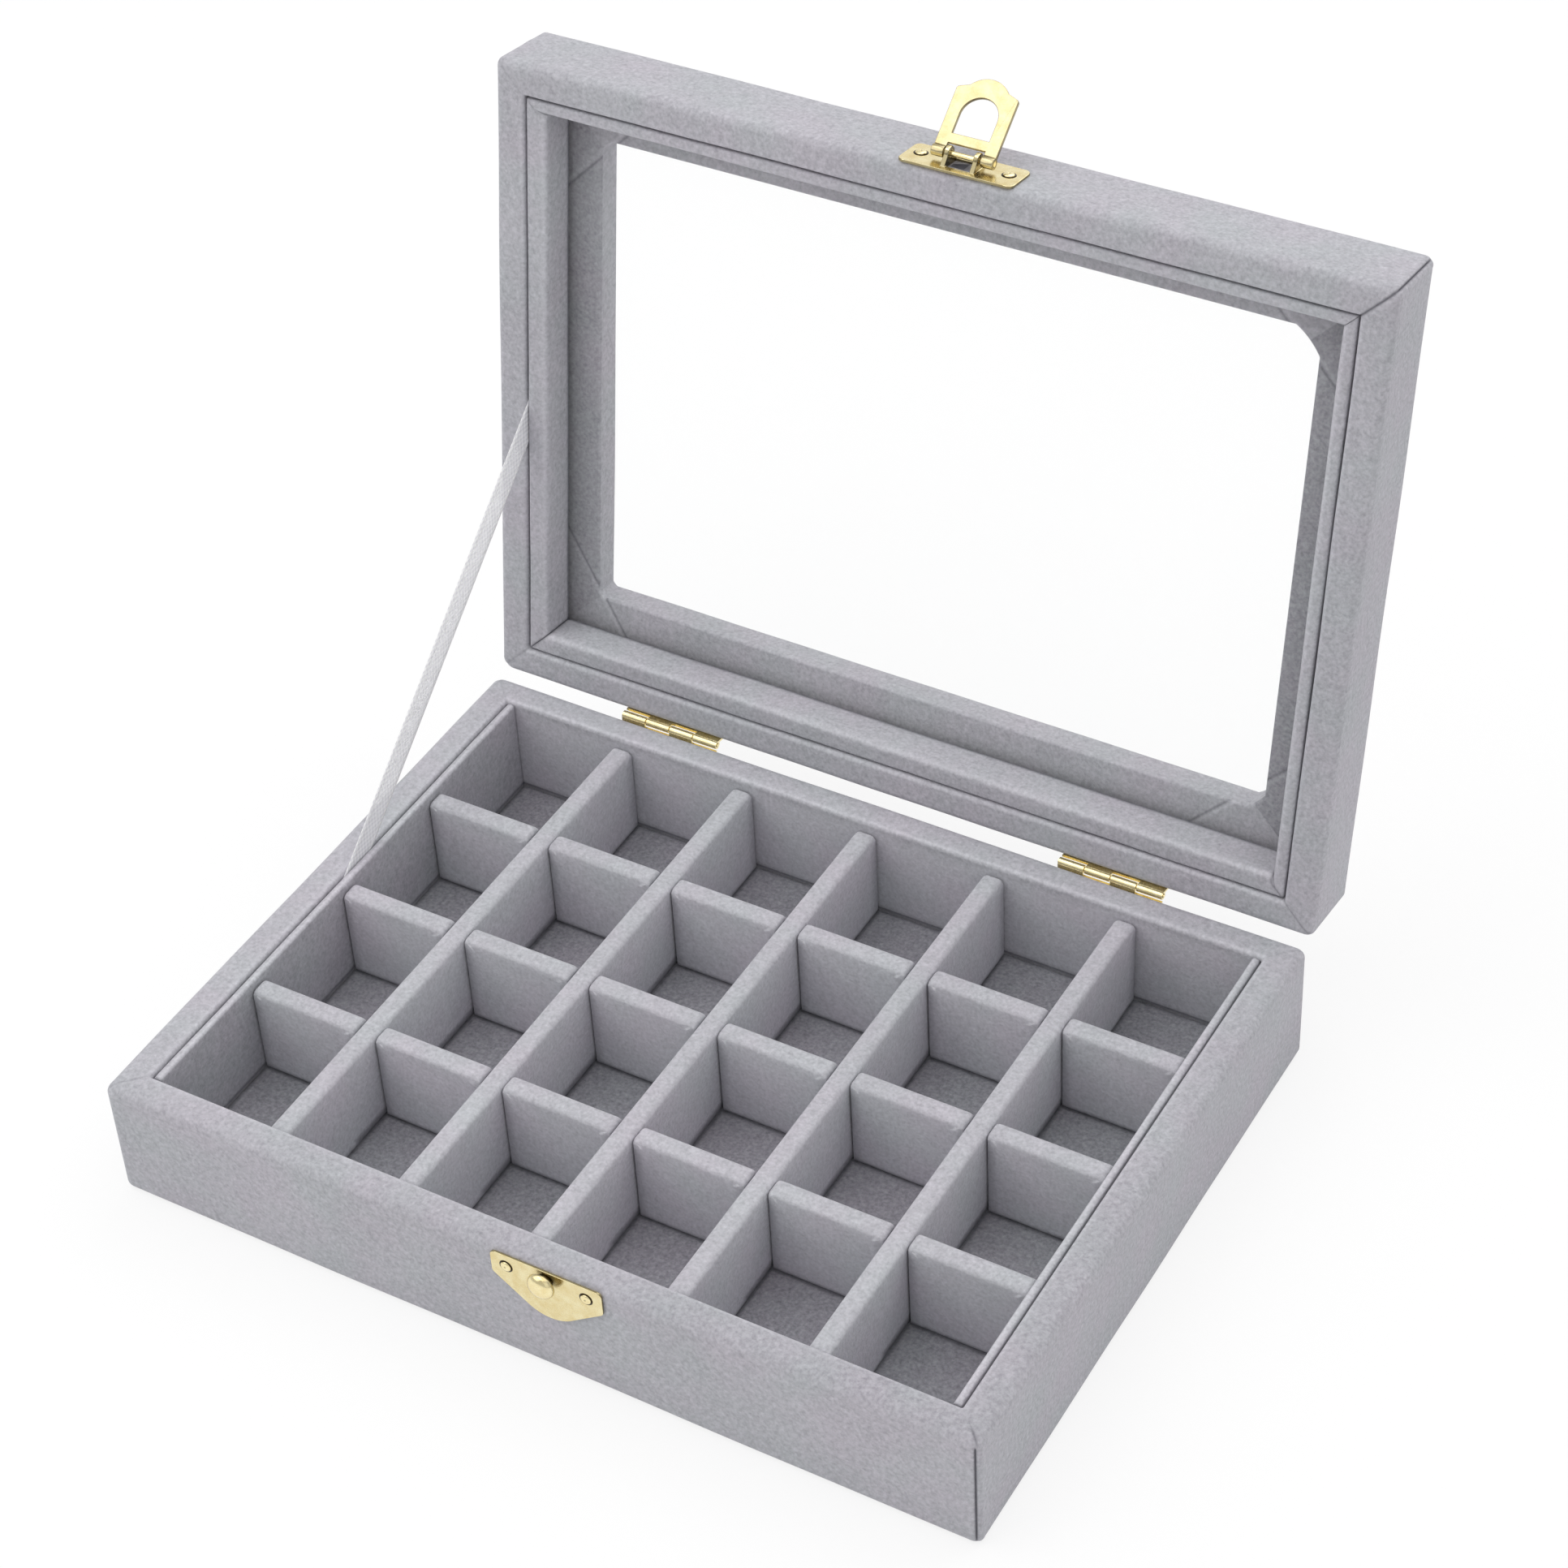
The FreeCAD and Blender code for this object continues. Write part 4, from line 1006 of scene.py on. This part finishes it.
def turnedPiece(name, shapes, tarnishAndShade, body, node):
    # several turned shapes of the same profile as one brass piece
    rows, columns = shapes[0].shape[:2]
    count = rows * columns
    faces = np.concatenate([gridFaces(rows, columns, False, True) + n * count for n in range(len(shapes))])
    caps = []
    for n in range(len(shapes)):
        first, last = n * count, (n + 1) * count - columns
        caps += [list(range(first, first + columns)), list(range(last, last + columns))]
    marks = {"tarnishAndShade": np.tile(np.repeat(np.array(tarnishAndShade)[:, None], columns, 1).ravel(), len(shapes))}
    points = np.concatenate([shape.reshape(-1, 3) for shape in shapes])
    piece = makePiece(name, points, faces, finishes["brass"], caps, marks)
    settle(closeUp(piece), body, "brass", node)


# neck rows are shares of the knob's length and radius
knobLook = {
    "neck": [(0.0, 0.56), (0.15, 0.5), (0.3, 0.56), (0.36, 0.86), (0.42, 0.97)], "rim": 0.48, "bulge": 0.8,
    "headSteps": 12, "sides": 56, "tarnishAndShade": [1.0, 0.9, 0.7, 0.7, 0.7, 0.5, 0.2],
}


def makeKnob():
    # a short waisted neck under a low mushroom head: quarter ellipse from the rim to the crown; the neck darkens
    # towards its foot with painted shade
    look = knobLook
    low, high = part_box("catch_knob")
    radius, foot, tip = (high.x - low.x) / 2, high.y, low.y
    middle = ((low.x + high.x) / 2, foot, (low.z + high.z) / 2)
    long = foot - tip
    t = np.linspace(0, math.pi / 2, look["headSteps"])[:-1]
    along = look["rim"] + (1 - look["rim"]) * np.sin(t)
    head = np.column_stack([long * along, radius * np.cos(t) ** look["bulge"]])
    neck = np.array(look["neck"]) * (long, radius)
    profile = np.concatenate([neck, head, [(long, 1e-5)]])
    tarnishAndShade = look["tarnishAndShade"] + [0.0] * (len(profile) - len(look["tarnishAndShade"]))
    turnedPiece("knob", [turned(profile, middle, (0, -1, 0), look["sides"])], tarnishAndShade, "base", "catch_knob")


# foot rows are a height and a share of the radius
nailLook = {
    "radius": 1.2 * mm, "height": 0.5 * mm, "sides": 24, "domeSteps": 7, "domeAt": 0.3, "domeShare": 0.98,
    "dimple": 0.14 * mm, "dimpleRadius": 0.12 * mm, "dimpleTarnish": 0.45, "apart": 2 * mm,
    "foot": [(-0.02 * mm, 1.3), (0.03 * mm, 1.26), (0.06 * mm, 0.98)], "footRingShade": [1.0, 1.0, 1.0, 0.5],
}


def makeNails(node, body, outward):
    # a low dome with a dimpled crown; a dark ring round its undercut foot is painted shadow on the plate
    look = nailLook
    outward = np.array(outward, float)
    points = nodePoints(node)
    order = points[np.argsort(points[:, 0])]
    nails = np.split(order, np.flatnonzero(np.diff(order[:, 0]) > look["apart"]) + 1)
    t = np.linspace(0, math.pi / 2, look["domeSteps"])
    rise = look["domeAt"] + (1 - look["domeAt"]) * np.sin(t)
    dome = np.column_stack([look["height"] * rise, look["radius"] * look["domeShare"] * np.cos(t)])
    dome[-1] = (look["height"] - look["dimple"], look["dimpleRadius"])
    foot = np.array(look["foot"]) * (1, look["radius"])
    profile = np.concatenate([foot, dome])
    clean = len(profile) - len(look["footRingShade"]) - 1
    tarnishAndShade = look["footRingShade"] + [0.0] * clean + [look["dimpleTarnish"]]
    shapes = []
    for nail in nails:
        middle = (nail.min(0) + nail.max(0)) / 2
        face = (nail @ outward).max() - look["height"]
        shapes.append(turned(profile, middle + outward * (face - middle @ outward), outward, look["sides"]))
    turnedPiece("heads_" + node, shapes, tarnishAndShade, body, node)


lidBack = opened(hingePoint + np.array([0.0, 1.0, 0.0])) - hingePoint
makeKnob()
makeNails("catch_nails", "base", (0, -1, 0))
makeNails("hinge_base_nails", "base", (0, 1, 0))
makeNails("hinge_lid_nails", "lid", lidBack)
makeNails("hasp_nails", "lid", -lidBack)
print("brass made")

stageLook = {
    "size": 40.0, "bendAt": 2.0, "bend": 0.8, "bendSteps": 12, "wall": 3.0, "shade": 0.9, "glow": 0.8,
}


def makeStage():
    # a bent sheet: flat floor that curves up into a far wall behind the box
    look = stageLook
    t = np.linspace(0, math.pi / 2, look["bendSteps"])
    bend = np.column_stack([look["bendAt"] + look["bend"] * np.sin(t), look["bend"] * (1 - np.cos(t))])
    profile = np.concatenate([[(-look["size"] / 2, 0.0)], bend, [(bend[-1, 0], look["wall"])]])
    x = np.repeat(np.array([[-look["size"] / 2, look["size"] / 2]]), len(profile), 0)
    points = np.stack([x, np.repeat(profile[:, :1], 2, 1), np.repeat(profile[:, 1:], 2, 1)], -1)
    paper = Finish("whitePaper", "ShaderNodeMixShader")
    light = paper.tree.nodes.new("ShaderNodeLightPath")
    kinds = ("Camera", "Glossy", "Transmission")
    camera, glossy, through = (Wire(paper, light.outputs["Is %s Ray" % kind]) for kind in kinds)
    seen = camera.maths("MAXIMUM", camera.maths("MAXIMUM", camera, glossy), through)
    diffuse = paper.node("ShaderNodeBsdfDiffuse", None, {"Color": (look["shade"],) * 3 + (1.0,)})
    glow = paper.node("ShaderNodeEmission", None, {"Color": (1.0, 1.0, 1.0, 1.0), "Strength": 1.0})
    paper.feed(paper.shader, {0: seen * look["glow"], 1: diffuse, 2: glow})
    makePiece("studioFloor", points, gridFaces(len(profile), 2, False, False), paper.material)


makeStage()

lampLook = {
    "key": {"place": (-0.56, -0.43, 0.95), "size": 1.2, "power": 5.1},
    "fill": {"place": (1.3, -1.1, 0.9), "size": 1.4, "power": 1.8},
    "top": {"place": (0.1, 0.15, 1.7), "size": 2.2, "power": 11.7},
    "back": {"place": (0.4, 1.2, 1.3), "size": 1.6, "power": 7.5},
}
for name, lamp in lampLook.items():
    data = bpy.data.lights.new(name, "AREA")
    data.shape = "SQUARE"
    data.size = lamp["size"]
    data.energy = lamp["power"]
    light = addObject(name, data)
    light.location = lamp["place"]
    light.rotation_mode = "QUATERNION"
    light.rotation_quaternion = (Vector((0, 0, 0.05)) - light.location).to_track_quat("-Z", "Y")

worldLook = {"colour": (1.0, 1.0, 1.0, 1.0), "strength": 0.54}
world = bpy.data.worlds.new("studio")
bpy.context.scene.world = world
world.use_nodes = True
background = world.node_tree.nodes["Background"].inputs
background["Color"].default_value = worldLook["colour"]
background["Strength"].default_value = worldLook["strength"]
bpy.context.scene.view_settings.view_transform = "Standard"
print("stage and lamps made")
